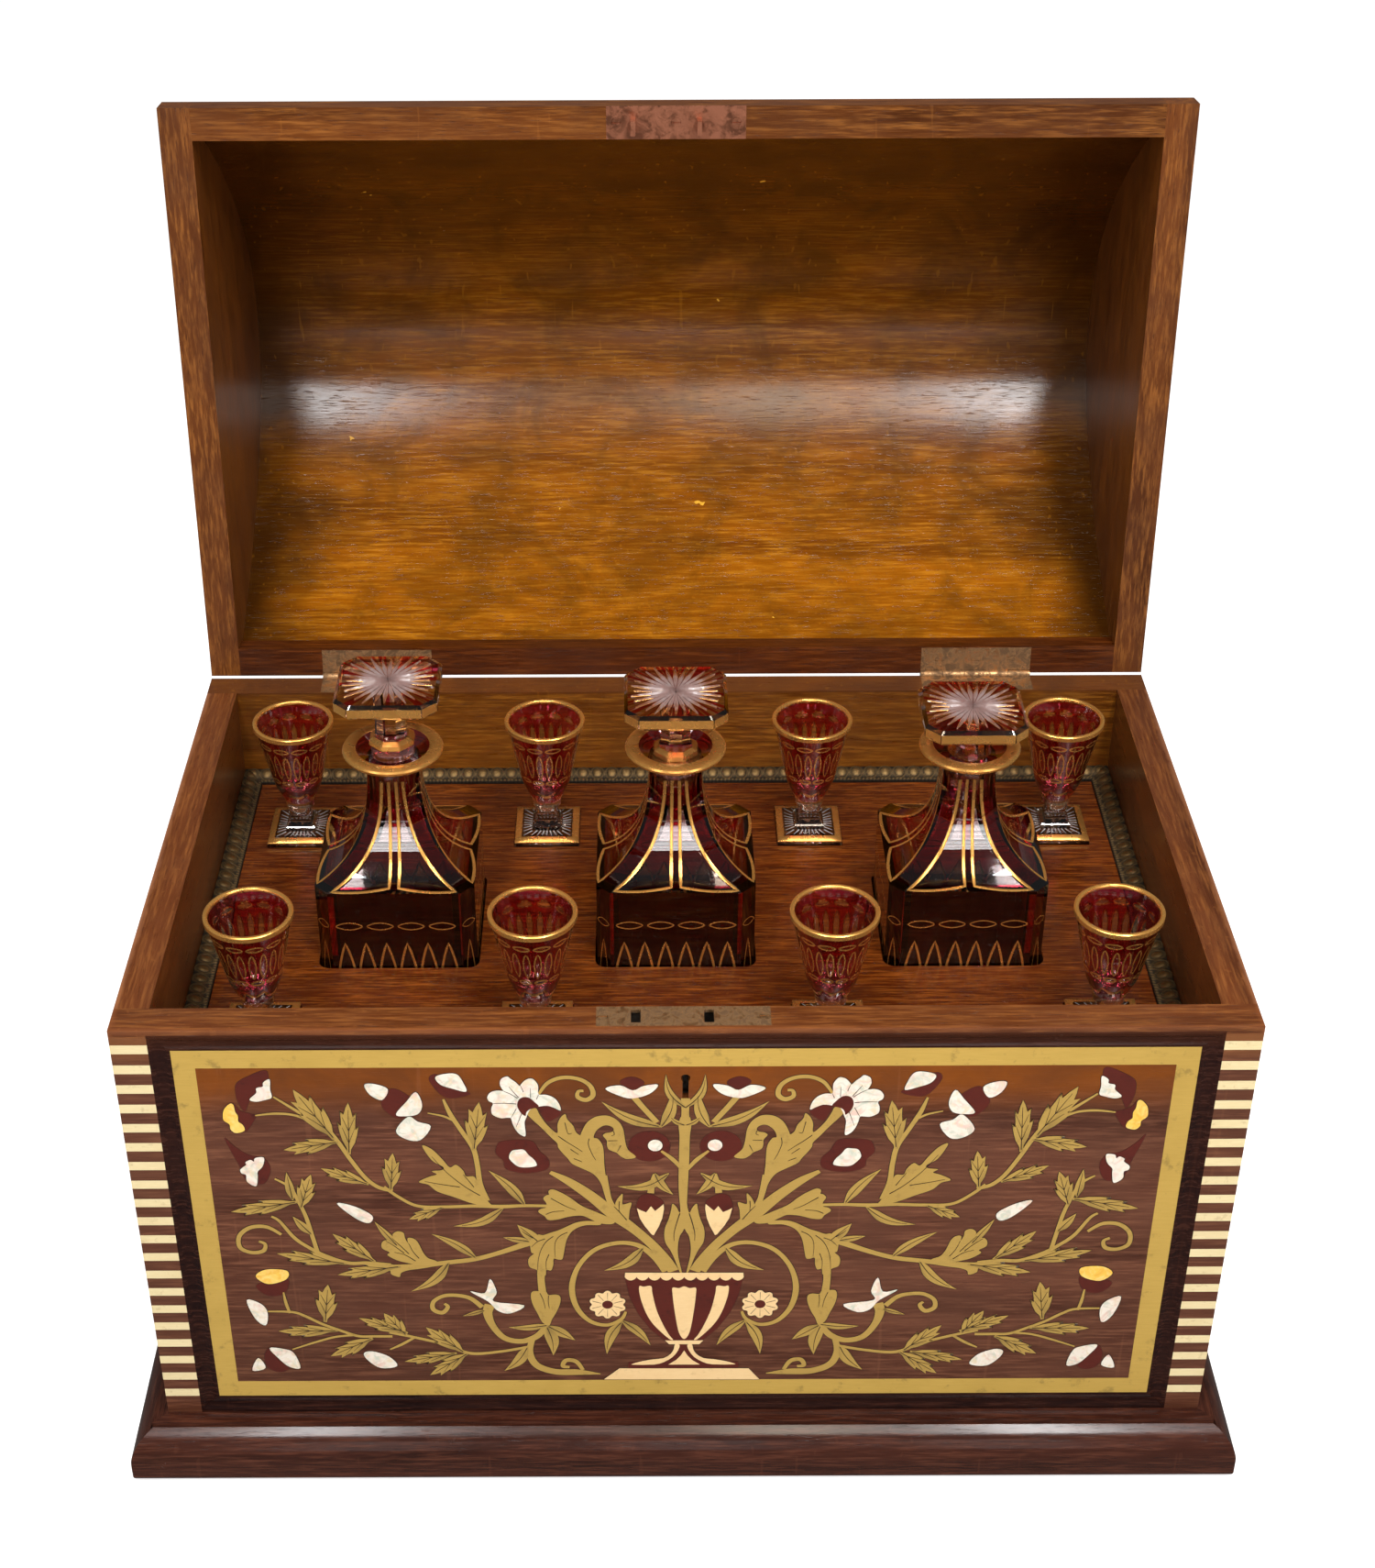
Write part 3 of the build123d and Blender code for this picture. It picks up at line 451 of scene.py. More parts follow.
def build_effect_groups() -> None:
    """Builds the shared effects: wood_figure, edge_wear_and_sheen and age_spots."""
    tree, given, out = start_group(
        "wood_figure", {"Vector": ("Vector", None), "Size": ("Float", 1.0),
                        "Place": ("Vector", None)}, ("Bands", "Fibre", "Cloud", "Pores"))
    size = tree.add("VectorMath", {0: given.outputs[0]}, operation="SCALE")
    tree.wire(given.outputs[1], size, "Scale")
    v = size.outputs[0]
    bands = tree.noise(v, 34.0, 4.0, 0.6, 0.8)
    fibre = tree.noise(v, 620.0, 3.0, 0.65, 0.2)
    cloud = tree.noise(given.outputs[2], 24.0, 4.0, 0.6, 0.6)
    pores = tree.band(tree.noise(v, 1500.0, 2.0, 0.5), 0.60, 0.72)
    for key, value in (("Bands", tree.band(bands, 0.25, 0.75)), ("Fibre", fibre),
                       ("Cloud", tree.band(cloud, 0.3, 0.7)), ("Pores", pores)):
        tree.wire(value, out, key)

    # Edge wear with a painted sheen: 1 where two faces of the box meet, fading inwards over a noisy
    # width.
    tree, given, out = start_group(
        "edge_wear_and_sheen", {"Vector": ("Vector", None), "Low": ("Vector", None),
                        "High": ("Vector", None), "Width": ("Float", 0.002)}, ("Wear and sheen",))
    below = tree.add("VectorMath", {0: given.outputs[0], 1: given.outputs[1]}, operation="SUBTRACT")
    above = tree.add("VectorMath", {0: given.outputs[2], 1: given.outputs[0]}, operation="SUBTRACT")
    sides = {0: below.outputs[0], 1: above.outputs[0]}
    nearest = tree.add("VectorMath", sides, operation="MINIMUM")
    gap = tree.add("SeparateXYZ", {0: nearest.outputs[0]})
    x, y, z = gap.outputs
    least = tree.maths("MINIMUM", tree.maths("MINIMUM", x, y), z)
    most = tree.maths("MAXIMUM", tree.maths("MAXIMUM", x, y), z)
    middle = tree.maths("SUBTRACT", tree.maths("ADD", tree.maths("ADD", x, y), z),
                        tree.maths("ADD", least, most))
    uneven = tree.noise(given.outputs[0], 60.0, 3.0, 0.6)
    reach = tree.times(given.outputs[3], tree.times(uneven, 2.0))
    wear_and_sheen = tree.maths("SUBTRACT", 1.0, tree.maths("DIVIDE", middle, reach), clamp=True)
    tree.wire(wear_and_sheen, out, "Wear and sheen")

    tree, given, out = start_group(
        "age_spots", {"Vector": ("Vector", None), "Size": ("Float", 1.0), "Amount": ("Float", 0.3)},
        ("Spots", "Scratches"))
    size = tree.add("VectorMath", {0: given.outputs[0]}, operation="SCALE")
    tree.wire(given.outputs[1], size, "Scale")
    spots = tree.noise(size.outputs[0], 110.0, 4.0, 0.7)
    edge = tree.maths("SUBTRACT", 0.8, tree.times(given.outputs[2], 0.4))
    mask = tree.times(tree.maths("SUBTRACT", spots, edge), 9.0, clamp=True)
    stretch = tree.add("Mapping", {"Vector": size.outputs[0], "Rotation": (0.3, 0.5, 0.7),
                                   "Scale": (1.0, 1.0, 0.03)})
    lines = tree.band(tree.noise(stretch.outputs[0], 500.0, 1.0, 0.4), 0.70, 0.74)
    tree.wire(mask, out, "Spots")
    tree.wire(lines, out, "Scratches")


@dataclass(frozen=True)
class WoodFinish:
    """Polished timber: long bands and fibres in three colours, clouded staining, edge wear with
    painted sheen, end and top colours (painted shade on the lid).
    """

    name: str
    deep: Colour
    main: Colour
    pale: Colour
    grain: Grain = Grain.ALONG_X
    size: float = 1.0
    figure: float = 0.55
    gloss: float = 0.3
    coat: float = 0.15
    chips: float = 0.0
    stain_and_end_shade: Colour = (0.03, 0.012, 0.008)
    stain_share: float = 0.35
    wear_and_sheen: Colour = (0.55, 0.2, 0.05)
    wear_and_sheen_share: float = 0.0
    wear_and_sheen_width: float = 2.5
    low: Colour = (-1.0, -1.0, -1.0)
    high: Colour = (1.0, 1.0, 1.0)
    painted_end_shade: float = 0.0
    tops: tuple[float, float, float] = (0.0, 0.0, 0.0)
    top_colour: Colour = (0.3, 0.1, 0.02)
    shine: float = 0.35

    def build(self) -> bpy.types.Material:
        """Builds the material.

        Returns:
            The finished material.
        """
        tree = Surface(self.name)
        at = tree.at
        laid = tree.add("Mapping", {"Vector": at, "Scale": self.grain.value}).outputs[0]
        figure = tree.put("wood_figure", {"Vector": laid, "Size": self.size, "Place": at}).outputs
        spots = tree.put("age_spots", {"Vector": at, "Size": 0.6, "Amount": 0.32}).outputs
        tone = tree.maths("MULTIPLY_ADD", figure["Bands"], 0.6, tree.times(figure["Cloud"], 0.4))
        body = tree.blend(tone, self.deep, self.main)
        fleck = tree.times(tree.band(figure["Fibre"], 0.4, 0.75), self.figure)
        body = tree.blend(fleck, body, self.pale)
        body = tree.blend(tree.times(figure["Pores"], self.figure), body, self.deep)
        place = tree.add("SeparateXYZ", {0: at}).outputs
        # Painted shade: the colour darkens towards both ends of the piece, in the colour that also
        # tints the clouds.
        if self.painted_end_shade:
            wave = tree.maths("SUBTRACT", tree.noise(at, 14.0, 3.0, 0.55), 0.5)
            reach = tree.maths("MULTIPLY_ADD", wave, 0.1, tree.maths("ABSOLUTE", place[0]))
            dark = tree.times(tree.band(reach, 0.178, 0.25), self.painted_end_shade)
            body = tree.blend(dark, body, self.stain_and_end_shade)
        # Above a height the colour moves to top_colour; on the lid this is painted shade over its
        # upper part.
        if self.tops[2]:
            share = tree.times(tree.band(place[2], self.tops[0], self.tops[1]), self.tops[2])
            body = tree.blend(share, body, self.top_colour)
        cloud = tree.times(figure["Cloud"], self.stain_share)
        body = tree.blend(cloud, body, self.stain_and_end_shade)
        # Along the box's edges the colour lightens: wear together with a painted sheen.
        if self.wear_and_sheen_share:
            wear_and_sheen = tree.put("edge_wear_and_sheen", {"Vector": at, "Low": [v * MM for v in self.low],
                                           "High": [v * MM for v in self.high],
                                           "Width": self.wear_and_sheen_width * MM}).outputs[0]
            body = tree.blend(tree.times(wear_and_sheen, self.wear_and_sheen_share), body, self.wear_and_sheen)
        body = tree.blend(tree.times(spots["Scratches"], 0.12), body, self.pale)
        if self.chips:
            chip = tree.band(tree.noise(at, 55.0, 3.0, 0.65), 0.742, 0.75)
            body = tree.blend(tree.times(chip, self.chips), body, (0.8, 0.42, 0.04))
        tree.feed("Base Color", body)
        tree.feed("Specular IOR Level", self.shine)
        rough = tree.maths("MULTIPLY_ADD", figure["Fibre"], 0.16, self.gloss - 0.08)
        rough = tree.maths("MULTIPLY_ADD", spots["Spots"], 0.12, rough, clamp=True)
        tree.feed("Roughness", rough)
        tree.feed("Coat Weight", self.coat)
        tree.feed("Coat Roughness", 0.12)
        tree.bump(tree.maths("MULTIPLY_ADD", figure["Pores"], -1.0, figure["Fibre"]), 0.05)
        return tree.material


@dataclass(frozen=True)
class InlayFinish:
    """A flat inlaid slip or leaf: one colour with fine streaks, mottling and grime."""

    name: str
    main: Colour
    other: Colour
    grime: Colour
    grime_share: float = 0.4
    grain: Grain = Grain.ALONG_X
    gloss: float = 0.32
    size: float = 1.0
    scorch: Colour = (0.1, 0.065, 0.02)

    def build(self) -> bpy.types.Material:
        """Builds the material.

        Returns:
            The finished material.
        """
        tree = Surface(self.name)
        at = tree.at
        laid = tree.add("Mapping", {"Vector": at, "Scale": self.grain.value}).outputs[0]
        figure = tree.put("wood_figure", {"Vector": laid, "Size": self.size * 2.2,
                                          "Place": at}).outputs
        spots = tree.put("age_spots", {"Vector": at, "Size": self.size, "Amount": 0.55}).outputs
        body = tree.blend(figure["Fibre"], self.other, self.main)
        patch = tree.band(tree.noise(at, 28.0 * self.size, 3.0, 0.6), 0.4, 0.75)
        body = tree.blend(tree.times(patch, 0.5), body, self.other)
        dirt = tree.times(spots["Spots"], self.grime_share)
        body = tree.blend(dirt, body, self.grime)
        burnt = tree.add("Attribute", attribute_name="flash").outputs["Fac"]
        uneven = tree.noise(at, 70.0, 3.0, 0.6)
        body = tree.blend(tree.times(burnt, uneven, clamp=True), body, self.scorch)
        tree.feed("Base Color", body)
        rough = tree.maths("MULTIPLY_ADD", figure["Fibre"], 0.14, self.gloss - 0.07)
        tree.feed("Roughness", rough)
        tree.feed("Specular IOR Level", 0.35)
        tree.feed("Coat Weight", 0.1)
        tree.feed("Coat Roughness", 0.1)
        tree.bump(figure["Fibre"], 0.03)
        return tree.material


@dataclass(frozen=True)
class PearlFinish:
    """Mother-of-pearl: white that drifts to pink, green and straw in soft cells."""

    name: str
    white: Colour
    tints: tuple[Colour, Colour, Colour]
    tint_share: float = 0.5

    def build(self) -> bpy.types.Material:
        """Builds the material.

        Returns:
            The finished material.
        """
        tree = Surface(self.name)
        at = tree.at
        body: object = self.white
        for k, tint in enumerate(self.tints):
            moved = tree.add("Mapping", {"Vector": at, "Location": (0.37 * k, 0.0, 0.81 * k)})
            cell = tree.noise(moved.outputs[0], 95.0 + 30.0 * k, 3.0, 0.6, 1.5)
            cell = tree.band(cell, 0.48, 0.68)
            body = tree.blend(tree.times(cell, self.tint_share), body, tint)
        sheen = tree.noise(at, 420.0, 2.0, 0.5, 2.0)
        tree.feed("Base Color", body)
        tree.feed("Roughness", tree.maths("MULTIPLY_ADD", sheen, 0.2, 0.12))
        tree.feed("Coat Weight", 0.6)
        tree.bump(sheen, 0.02)
        return tree.material


@dataclass(frozen=True)
class MetalFinish:
    """Old metal: a bright colour under blotches of tarnish, with dents and scratches."""

    name: str
    bright: Colour
    tarnish: Colour
    tarnish_share: float = 0.7
    dull: float = 0.35
    size: float = 1.0
    metal: float = 1.0
    dents: float = 0.06
    raised: bool = False

    def build(self) -> bpy.types.Material:
        """Builds the material.

        Returns:
            The finished material.
        """
        tree = Surface(self.name)
        at = tree.at
        blotch = tree.band(tree.noise(at, 120.0 * self.size, 4.0, 0.7, 0.6), 0.36, 0.62)
        fine = tree.noise(at, 900.0 * self.size, 3.0, 0.6)
        spots = tree.put("age_spots", {"Vector": at, "Size": 2.0 * self.size,
                                       "Amount": 0.6}).outputs
        share = tree.times(tree.maths("MAXIMUM", blotch, spots["Spots"]), self.tarnish_share)
        if self.raised:
            crest = tree.add("Attribute", attribute_name="flash").outputs["Fac"]
            rubbed = tree.times(crest, tree.maths("MULTIPLY_ADD", fine, 0.8, 0.5))
            share = tree.maths("SUBTRACT", self.tarnish_share, rubbed, clamp=True)
        body = tree.blend(share, self.bright, self.tarnish)
        body = tree.blend(tree.times(fine, 0.25), body, self.tarnish)
        tree.feed("Base Color", body)
        rough = tree.maths("MULTIPLY_ADD", share, 0.35, self.dull, clamp=True)
        tree.feed("Roughness", rough)
        metal = tree.maths("MULTIPLY_ADD", share, -0.5, self.metal, clamp=True)
        tree.feed("Metallic", metal)
        tree.bump(tree.maths("ADD", tree.noise(at, 70.0 * self.size, 3.0), fine), self.dents)
        return tree.material


@dataclass(frozen=True)
class GiltFinish:
    """Fired gold on glass: bright and warm, a little rubbed and uneven."""

    name: str
    gold: Colour = (0.96, 0.48, 0.12)
    worn: Colour = (0.68, 0.31, 0.06)
    dull: float = 0.26
    metal: float = 0.82

    def build(self) -> bpy.types.Material:
        """Builds the material.

        Returns:
            The finished material.
        """
        tree = Surface(self.name)
        at = tree.at
        patch = tree.times(tree.band(tree.noise(at, 90.0, 3.0, 0.55), 0.42, 0.8), 0.55)
        body = tree.blend(patch, self.gold, self.worn)
        tree.feed("Base Color", body)
        tree.feed("Roughness", tree.maths("MULTIPLY_ADD", patch, 0.2, self.dull))
        tree.feed("Metallic", self.metal)
        tree.bump(tree.noise(at, 300.0, 2.0), 0.012)
        return tree.material


@dataclass(frozen=True)
class CutFinish:
    """The ground facets of a star cut: half clear, with a second colour towards their tips."""

    name: str
    pale: Colour
    warm: Colour
    clear: float = 0.45

    def build(self) -> bpy.types.Material:
        """Builds the material.

        Returns:
            The finished material.
        """
        tree = Surface(self.name)
        at = tree.at
        out = tree.add("Attribute", attribute_name="flash").outputs["Fac"]
        glint = tree.band(tree.noise(at, 260.0, 2.0), 0.45, 0.7)
        body = tree.blend(out, self.pale, self.warm)
        body = tree.blend(tree.times(glint, 0.25), body, (0.7, 0.6, 0.57))
        tree.feed("Base Color", body)
        tree.feed("Roughness", tree.maths("MULTIPLY_ADD", glint, -0.12, 0.26))
        tree.feed("Transmission Weight", self.clear)
        tree.feed("IOR", 1.52)
        tree.bump(glint, 0.04)
        return tree.material


@dataclass(frozen=True)
class GlassFinish:
    """Lead crystal that a thin coloured flash covers where the piece's flash attribute says so."""

    name: str
    clear: Colour
    flashed: Colour
    rough: float = 0.0

    def build(self) -> bpy.types.Material:
        """Builds the material.

        Returns:
            The finished material.
        """
        tree = Surface(self.name)
        at = tree.at
        cover = tree.add("Attribute", attribute_name="flash").outputs["Fac"]
        drift = tree.maths("MULTIPLY_ADD", tree.noise(at, 60.0, 2.0), 0.16, 0.92)
        body = tree.blend(tree.times(cover, drift, clamp=True), self.clear, self.flashed)
        tree.feed("Base Color", body)
        smears = tree.band(tree.noise(at, 35.0, 4.0, 0.7), 0.5, 0.8)
        tree.feed("Roughness", tree.maths("MULTIPLY_ADD", smears, 0.05, self.rough))
        tree.feed("Transmission Weight", 1.0)
        tree.feed("IOR", 1.52)
        tree.feed("Coat Weight", 0.9)
        tree.bump(tree.noise(at, 45.0, 1.0), 0.03)
        return tree.material


RED_GLASS = (0.5, 0.003, 0.016)
CASE_WOOD = ((0.045, 0.01, 0.002), (0.19, 0.05, 0.01), (0.4, 0.14, 0.03))
BASE_WOOD = ((0.018, 0.005, 0.003), (0.07, 0.018, 0.009), (0.15, 0.045, 0.022))
BOX = {"low": (-260.0, -156.0, 0.0), "high": (260.0, 156.0, 277.0)}
FINISHES = {
    # On the case boards the lighter edge colour is wear together with a painted sheen.
    "case": WoodFinish("polished_case", *CASE_WOOD, wear_and_sheen_share=0.5, wear_and_sheen=(0.26, 0.08, 0.025), **BOX),
    "case_side": WoodFinish("polished_case_side", *CASE_WOOD, Grain.ALONG_Y, wear_and_sheen_share=0.5,
                            wear_and_sheen=(0.4, 0.17, 0.08), figure=0.42, **BOX),
    "case_back": WoodFinish("polished_case_back", (0.08, 0.02, 0.002), (0.3, 0.09, 0.006),
                            (0.5, 0.19, 0.02), tops=(0.2755, 0.2765, 0.8),
                            top_colour=(0.12, 0.035, 0.008), stain_share=0.5, coat=0.0),
    # On the lid the darker ends and the darker top are painted shade.
    "lid": WoodFinish("golden_lid", (0.13, 0.031, 0.001), (0.46, 0.135, 0.002), (0.64, 0.25, 0.012),
                      figure=0.6, stain_share=0.66, stain_and_end_shade=(0.03, 0.009, 0.001), painted_end_shade=0.9,
                      tops=(0.37, 0.54, 0.85), top_colour=(0.08, 0.02, 0.001), gloss=0.2, coat=0.0,
                      chips=0.9, shine=0.45),
    "gable": WoodFinish("lid_gable", (0.05, 0.012, 0.002), (0.2, 0.055, 0.008), (0.42, 0.15, 0.025),
                        Grain.ALONG_Z, stain_share=0.45, gloss=0.32, coat=0.0, shine=0.25),
    "rail": WoodFinish("lid_rail", (0.04, 0.009, 0.001), (0.2, 0.055, 0.007), (0.42, 0.15, 0.025),
                       stain_share=0.45, coat=0.0, shine=0.25),
    "low_rail": WoodFinish("lid_low_rail", (0.02, 0.004, 0.001), (0.1, 0.02, 0.002),
                           (0.24, 0.06, 0.008), stain_share=0.5, coat=0.0, shine=0.25),
    "tray": WoodFinish("tray_mahogany", (0.035, 0.006, 0.001), (0.15, 0.025, 0.002),
                       (0.34, 0.09, 0.01), size=1.2, figure=0.8, gloss=0.22, coat=0.08,
                       stain_share=0.45, shine=0.35),
    "panel": WoodFinish("rosewood_panel", (0.04, 0.011, 0.006), (0.17, 0.06, 0.032),
                        (0.26, 0.1, 0.05), gloss=0.32, stain_share=0.45, tops=(0.222, 0.25, 0.9),
                        top_colour=(0.2, 0.05, 0.002), coat=0.0, shine=0.15),
    "base": WoodFinish("dark_base", *BASE_WOOD, gloss=0.22, coat=0.25, stain_share=0.3,
                       stain_and_end_shade=(0.008, 0.002, 0.002), shine=0.3),
    "base_side": WoodFinish("dark_base_side", *BASE_WOOD, Grain.ALONG_Y, gloss=0.22, coat=0.25,
                            stain_share=0.3, stain_and_end_shade=(0.008, 0.002, 0.002), shine=0.3),
    "ebony": WoodFinish("ebonised_strip", (0.008, 0.003, 0.003), (0.024, 0.007, 0.005),
                        (0.07, 0.02, 0.01), gloss=0.26, stain_share=0.2, tops=(0.262, 0.277, 0.5),
                        top_colour=(0.075, 0.018, 0.003), coat=0.0, shine=0.15),
    "band_wood": WoodFinish("band_wood", (0.07, 0.02, 0.01), (0.14, 0.045, 0.02),
                            (0.23, 0.085, 0.04), gloss=0.35, stain_share=0.3,
                            tops=(0.255, 0.268, 0.6), top_colour=(0.26, 0.09, 0.02), shine=0.25),
    "plain": WoodFinish("plain_carcase", (0.16, 0.07, 0.03), (0.3, 0.15, 0.07), (0.42, 0.24, 0.12),
                        gloss=0.6, coat=0.0),
    "gilt": InlayFinish("olive_gold_strip", (0.52, 0.33, 0.07), (0.4, 0.25, 0.045),
                        (0.09, 0.06, 0.02), 0.4),
    "gilt_side": InlayFinish("olive_gold_upright", (0.52, 0.33, 0.07), (0.4, 0.25, 0.045),
                             (0.09, 0.06, 0.02), 0.4, Grain.ALONG_Z),
    "leaf": InlayFinish("olive_leaf", (0.43, 0.27, 0.06), (0.34, 0.21, 0.045), (0.1, 0.06, 0.02),
                        0.25, size=1.6),
    "mastic": InlayFinish("dark_mastic", (0.022, 0.009, 0.006), (0.035, 0.015, 0.01),
                          (0.01, 0.01, 0.01)),
    "red_wood": InlayFinish("red_petal_wood", (0.12, 0.014, 0.006), (0.06, 0.009, 0.006),
                            (0.02, 0.006, 0.005), 0.4, size=2.0),
    "bone": InlayFinish("old_bone", (0.8, 0.68, 0.4), (0.64, 0.5, 0.26), (0.3, 0.18, 0.08), 0.3,
                        size=2.0),
    "cream": InlayFinish("cream_wood", (0.8, 0.58, 0.3), (0.68, 0.44, 0.2), (0.35, 0.2, 0.08), 0.25,
                         size=2.0),
    "pearl": PearlFinish("mother_of_pearl", (0.76, 0.68, 0.58),
                         ((0.68, 0.42, 0.34), (0.46, 0.5, 0.4), (0.7, 0.56, 0.36)), 0.75),
    "amber": PearlFinish("amber_shell", (0.8, 0.48, 0.07),
                         ((0.86, 0.64, 0.2), (0.7, 0.32, 0.03), (0.86, 0.62, 0.22))),
    "brass": MetalFinish("worn_brass", (0.62, 0.36, 0.17), (0.1, 0.05, 0.022), 0.85, 0.4, 1.6),
    "copper": MetalFinish("coppered_plate", (0.52, 0.2, 0.11), (0.3, 0.11, 0.06), 0.6, 0.36),
    "iron": MetalFinish("lock_iron", (0.25, 0.22, 0.19), (0.06, 0.035, 0.02), 0.8, 0.45),
    "bronze": MetalFinish("blackened_trim", (0.34, 0.21, 0.08), (0.018, 0.012, 0.006), 1.0, 0.36,
                          1.4, raised=True),
    "gold": GiltFinish("fired_gold"),
    "cut": CutFinish("frosted_star", (0.36, 0.22, 0.2), (0.26, 0.08, 0.03)),
    "foot_cut": CutFinish("frosted_foot_star", (0.62, 0.55, 0.52), (0.62, 0.55, 0.52), 0.35),
    "ruby": GlassFinish("ruby_flashed_crystal", (0.97, 0.95, 0.94), RED_GLASS),
    "bowl": GlassFinish("ruby_bowl_crystal", (0.97, 0.95, 0.94), (0.58, 0.004, 0.018)),
}


@cache
def finish(name: str) -> bpy.types.Material:
    """Returns the material of that name, built on first use."""
    return FINISHES[name].build()


def dress(node: str, name: str) -> None:
    """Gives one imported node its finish.

    Args:
        node: the node's name.
        name: the finish's name.
    """
    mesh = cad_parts[node].data
    mesh.materials.clear()
    mesh.materials.append(finish(name))
    log.info("%s dressed as %s", node, name)


# The case and the lid.

NODE_FINISH = {
    "case_front": "case", "case_back": "case_back", "case_left": "case_side",
    "case_right": "case_side", "case_bottom": "plain", "front_panel": "panel",
    "gilt_frame": "gilt", "dark_frame": "ebony", "bone_slips": "bone", "wood_slips": "band_wood",
    "tray_board": "tray", "tray_bearers": "plain", "decanter_shelf": "plain",
    "shelf_bearers": "plain", "lock_case": "iron", "lock_plate": "brass", "lock_bolt": "iron",
    "lock_screws": "brass", "hinge_screws_case": "brass", "hinge_screws_lid": "brass",
    "hinge_leaf_case_left": "brass", "hinge_leaf_case_right": "brass",
    "hinge_leaf_lid_left": "brass", "hinge_leaf_lid_right": "brass",
    "hinge_pin_left": "brass", "hinge_pin_right": "brass",
    "strike_plate": "copper", "strike_staples": "copper", "strike_screws": "copper",
    "lid_front_rail": "rail", "lid_back_rail": "low_rail", "lid_gable_left": "gable",
    "lid_gable_right": "gable",
}


@dataclass
class Vault:
    """The lid's bent board: two parabolas over the rails, turned open about the hinge line."""

    width: float = 487.4
    outer_span: float = 156.0
    inner_span: float = 142.0
    outer_rise: float = 153.0
    inner_rise: float = 140.0
    spring: float = 292.4
    hinge: tuple[float, float] = (156.8, 277.2)
    opened: float = 95.27
    points: int = 65

    def arch(self, span: float, rise: float, count: int) -> Array:
        """Points (y, z) of one parabola, z = spring + rise (1 - y^2 / span^2), from back to front.

        Args:
            span: half the width at the rails.
            rise: the height in the middle.
            count: how many points.

        Returns:
            The points, with the lid shut.
        """
        y = span * np.linspace(1.0, -1.0, count)
        return np.stack([y, self.spring + rise * (1 - (y / span) ** 2)], -1)

    def build(self) -> None:
        """Carries the closed section of both parabolas along X and turns it open."""
        section = np.vstack([self.arch(self.outer_span, self.outer_rise, self.points),
                             self.arch(self.inner_span, self.inner_rise, self.points)[::-1]])
        y, z = section[:, 0] - self.hinge[0], section[:, 1] - self.hinge[1]
        c, s = math.cos(math.radians(-self.opened)), math.sin(math.radians(-self.opened))
        y, z = self.hinge[0] + c * y - s * z, self.hinge[1] + s * y + c * z
        x = np.array([-self.width / 2, self.width / 2])
        grid = np.stack([np.broadcast_to(x[:, None], (2, len(y))), np.broadcast_to(y, (2, len(y))),
                         np.broadcast_to(z, (2, len(y)))], -1)
        shell = Shell("bent_lid_board").grid(grid, cols=True, flip=True)
        half = len(y) // 2
        for end, flip in ((0, False), (1, True)):
            strip = np.stack([grid[end, :half], grid[end, half:][::-1]])
            shell.grid(strip, flip=flip)
        shell.piece("lid", "lid", "lid_wood", ["lid_vault"])


@dataclass
class MitredMoulding:
    """Four bars round a rectangle, each a profile carried between two mitres."""

    length: float
    depth: float
    base: float
    profile: Array
    slot: str

    def side(self, name: str, turn: int, columns: int,
             relief: Callable[[Array, Array], Array] | None = None) -> Shell:
        """Builds one bar: row k of the profile runs from mitre to mitre at its own inset.

        Args:
            name: the piece's name.
            turn: 0 front, 1 right, 2 back, 3 left.
            columns: how many steps along the bar.
            relief: takes the distance along the bar and the profile's share and returns a lift.

        Returns:
            The bar's shell.
        """
        long, deep = (self.length, self.depth) if turn % 2 == 0 else (self.depth, self.length)
        inset, height = self.profile[:, :1], self.profile[:, 1:]
        along = np.linspace(-1.0, 1.0, columns + 1)[None, :]
        x = along * (long / 2 - inset)
        share = np.linspace(0.0, 1.0, len(self.profile))[:, None] + 0 * x
        lift = relief(x, share) if relief else 0.0 * x
        grid = np.stack([x, inset - deep / 2 + 0 * x, self.base + height + lift + 0 * x], -1)
        shell = Shell(name)
        bar = turned_about(grid, (0.0, 0.0), turn * math.pi / 2)
        shell.grid(bar, rows=True, flash=np.clip(lift, 0.0, 1.0))
        for end in (0, -1):
            ring = bar[:, end]
            shell.grid(np.stack([ring, np.broadcast_to(ring.mean(0), ring.shape)]), cols=True,
                       flip=end == 0)
        return shell


@dataclass
class BaseMoulding:
    """The dark base: a rounded toe, a broad nose and a square fillet."""

    length: float = 556.0
    depth: float = 348.0
    height: float = 31.0
    projection: float = 18.0
    toe: float = 4.0
    nose: float = 12.0
    ledge: float = 11.0
    fillet: float = 3.5

    def profile(self) -> Array:
        """The bar's section as (inset, height), from the ground up the outside and down the wall.

        Returns:
            The closed section: a quarter circle, a straight, an arc that starts upright, a step.
        """
        a = np.linspace(0.0, math.pi / 2, 9)
        toe = np.stack([self.toe * (1 - np.sin(a)), self.toe * (1 - np.cos(a))], -1)
        rise = self.height - self.fillet - self.nose
        radius = (self.ledge ** 2 + rise ** 2) / (2 * self.ledge)
        b = np.linspace(0.0, math.asin(rise / radius), 18)
        arc = np.stack([radius * (1 - np.cos(b)), self.nose + radius * np.sin(b)], -1)
        top = [(self.ledge, self.height), (self.projection, self.height), (self.projection, 0.0)]
        return np.vstack([toe, arc, top])

    def build(self) -> None:
        """Builds the four bars."""
        names = ("base_front", "base_right", "base_back", "base_left")
        bars = MitredMoulding(self.length, self.depth, 0.0, self.profile(), "base_mahogany")
        for turn, node in enumerate(names):
            look = "base_side" if turn % 2 else "base"
            bar = bars.side("moulded_" + node, turn, 1)
            bar.piece(look, "case", bars.slot, [node], crease=30.0)


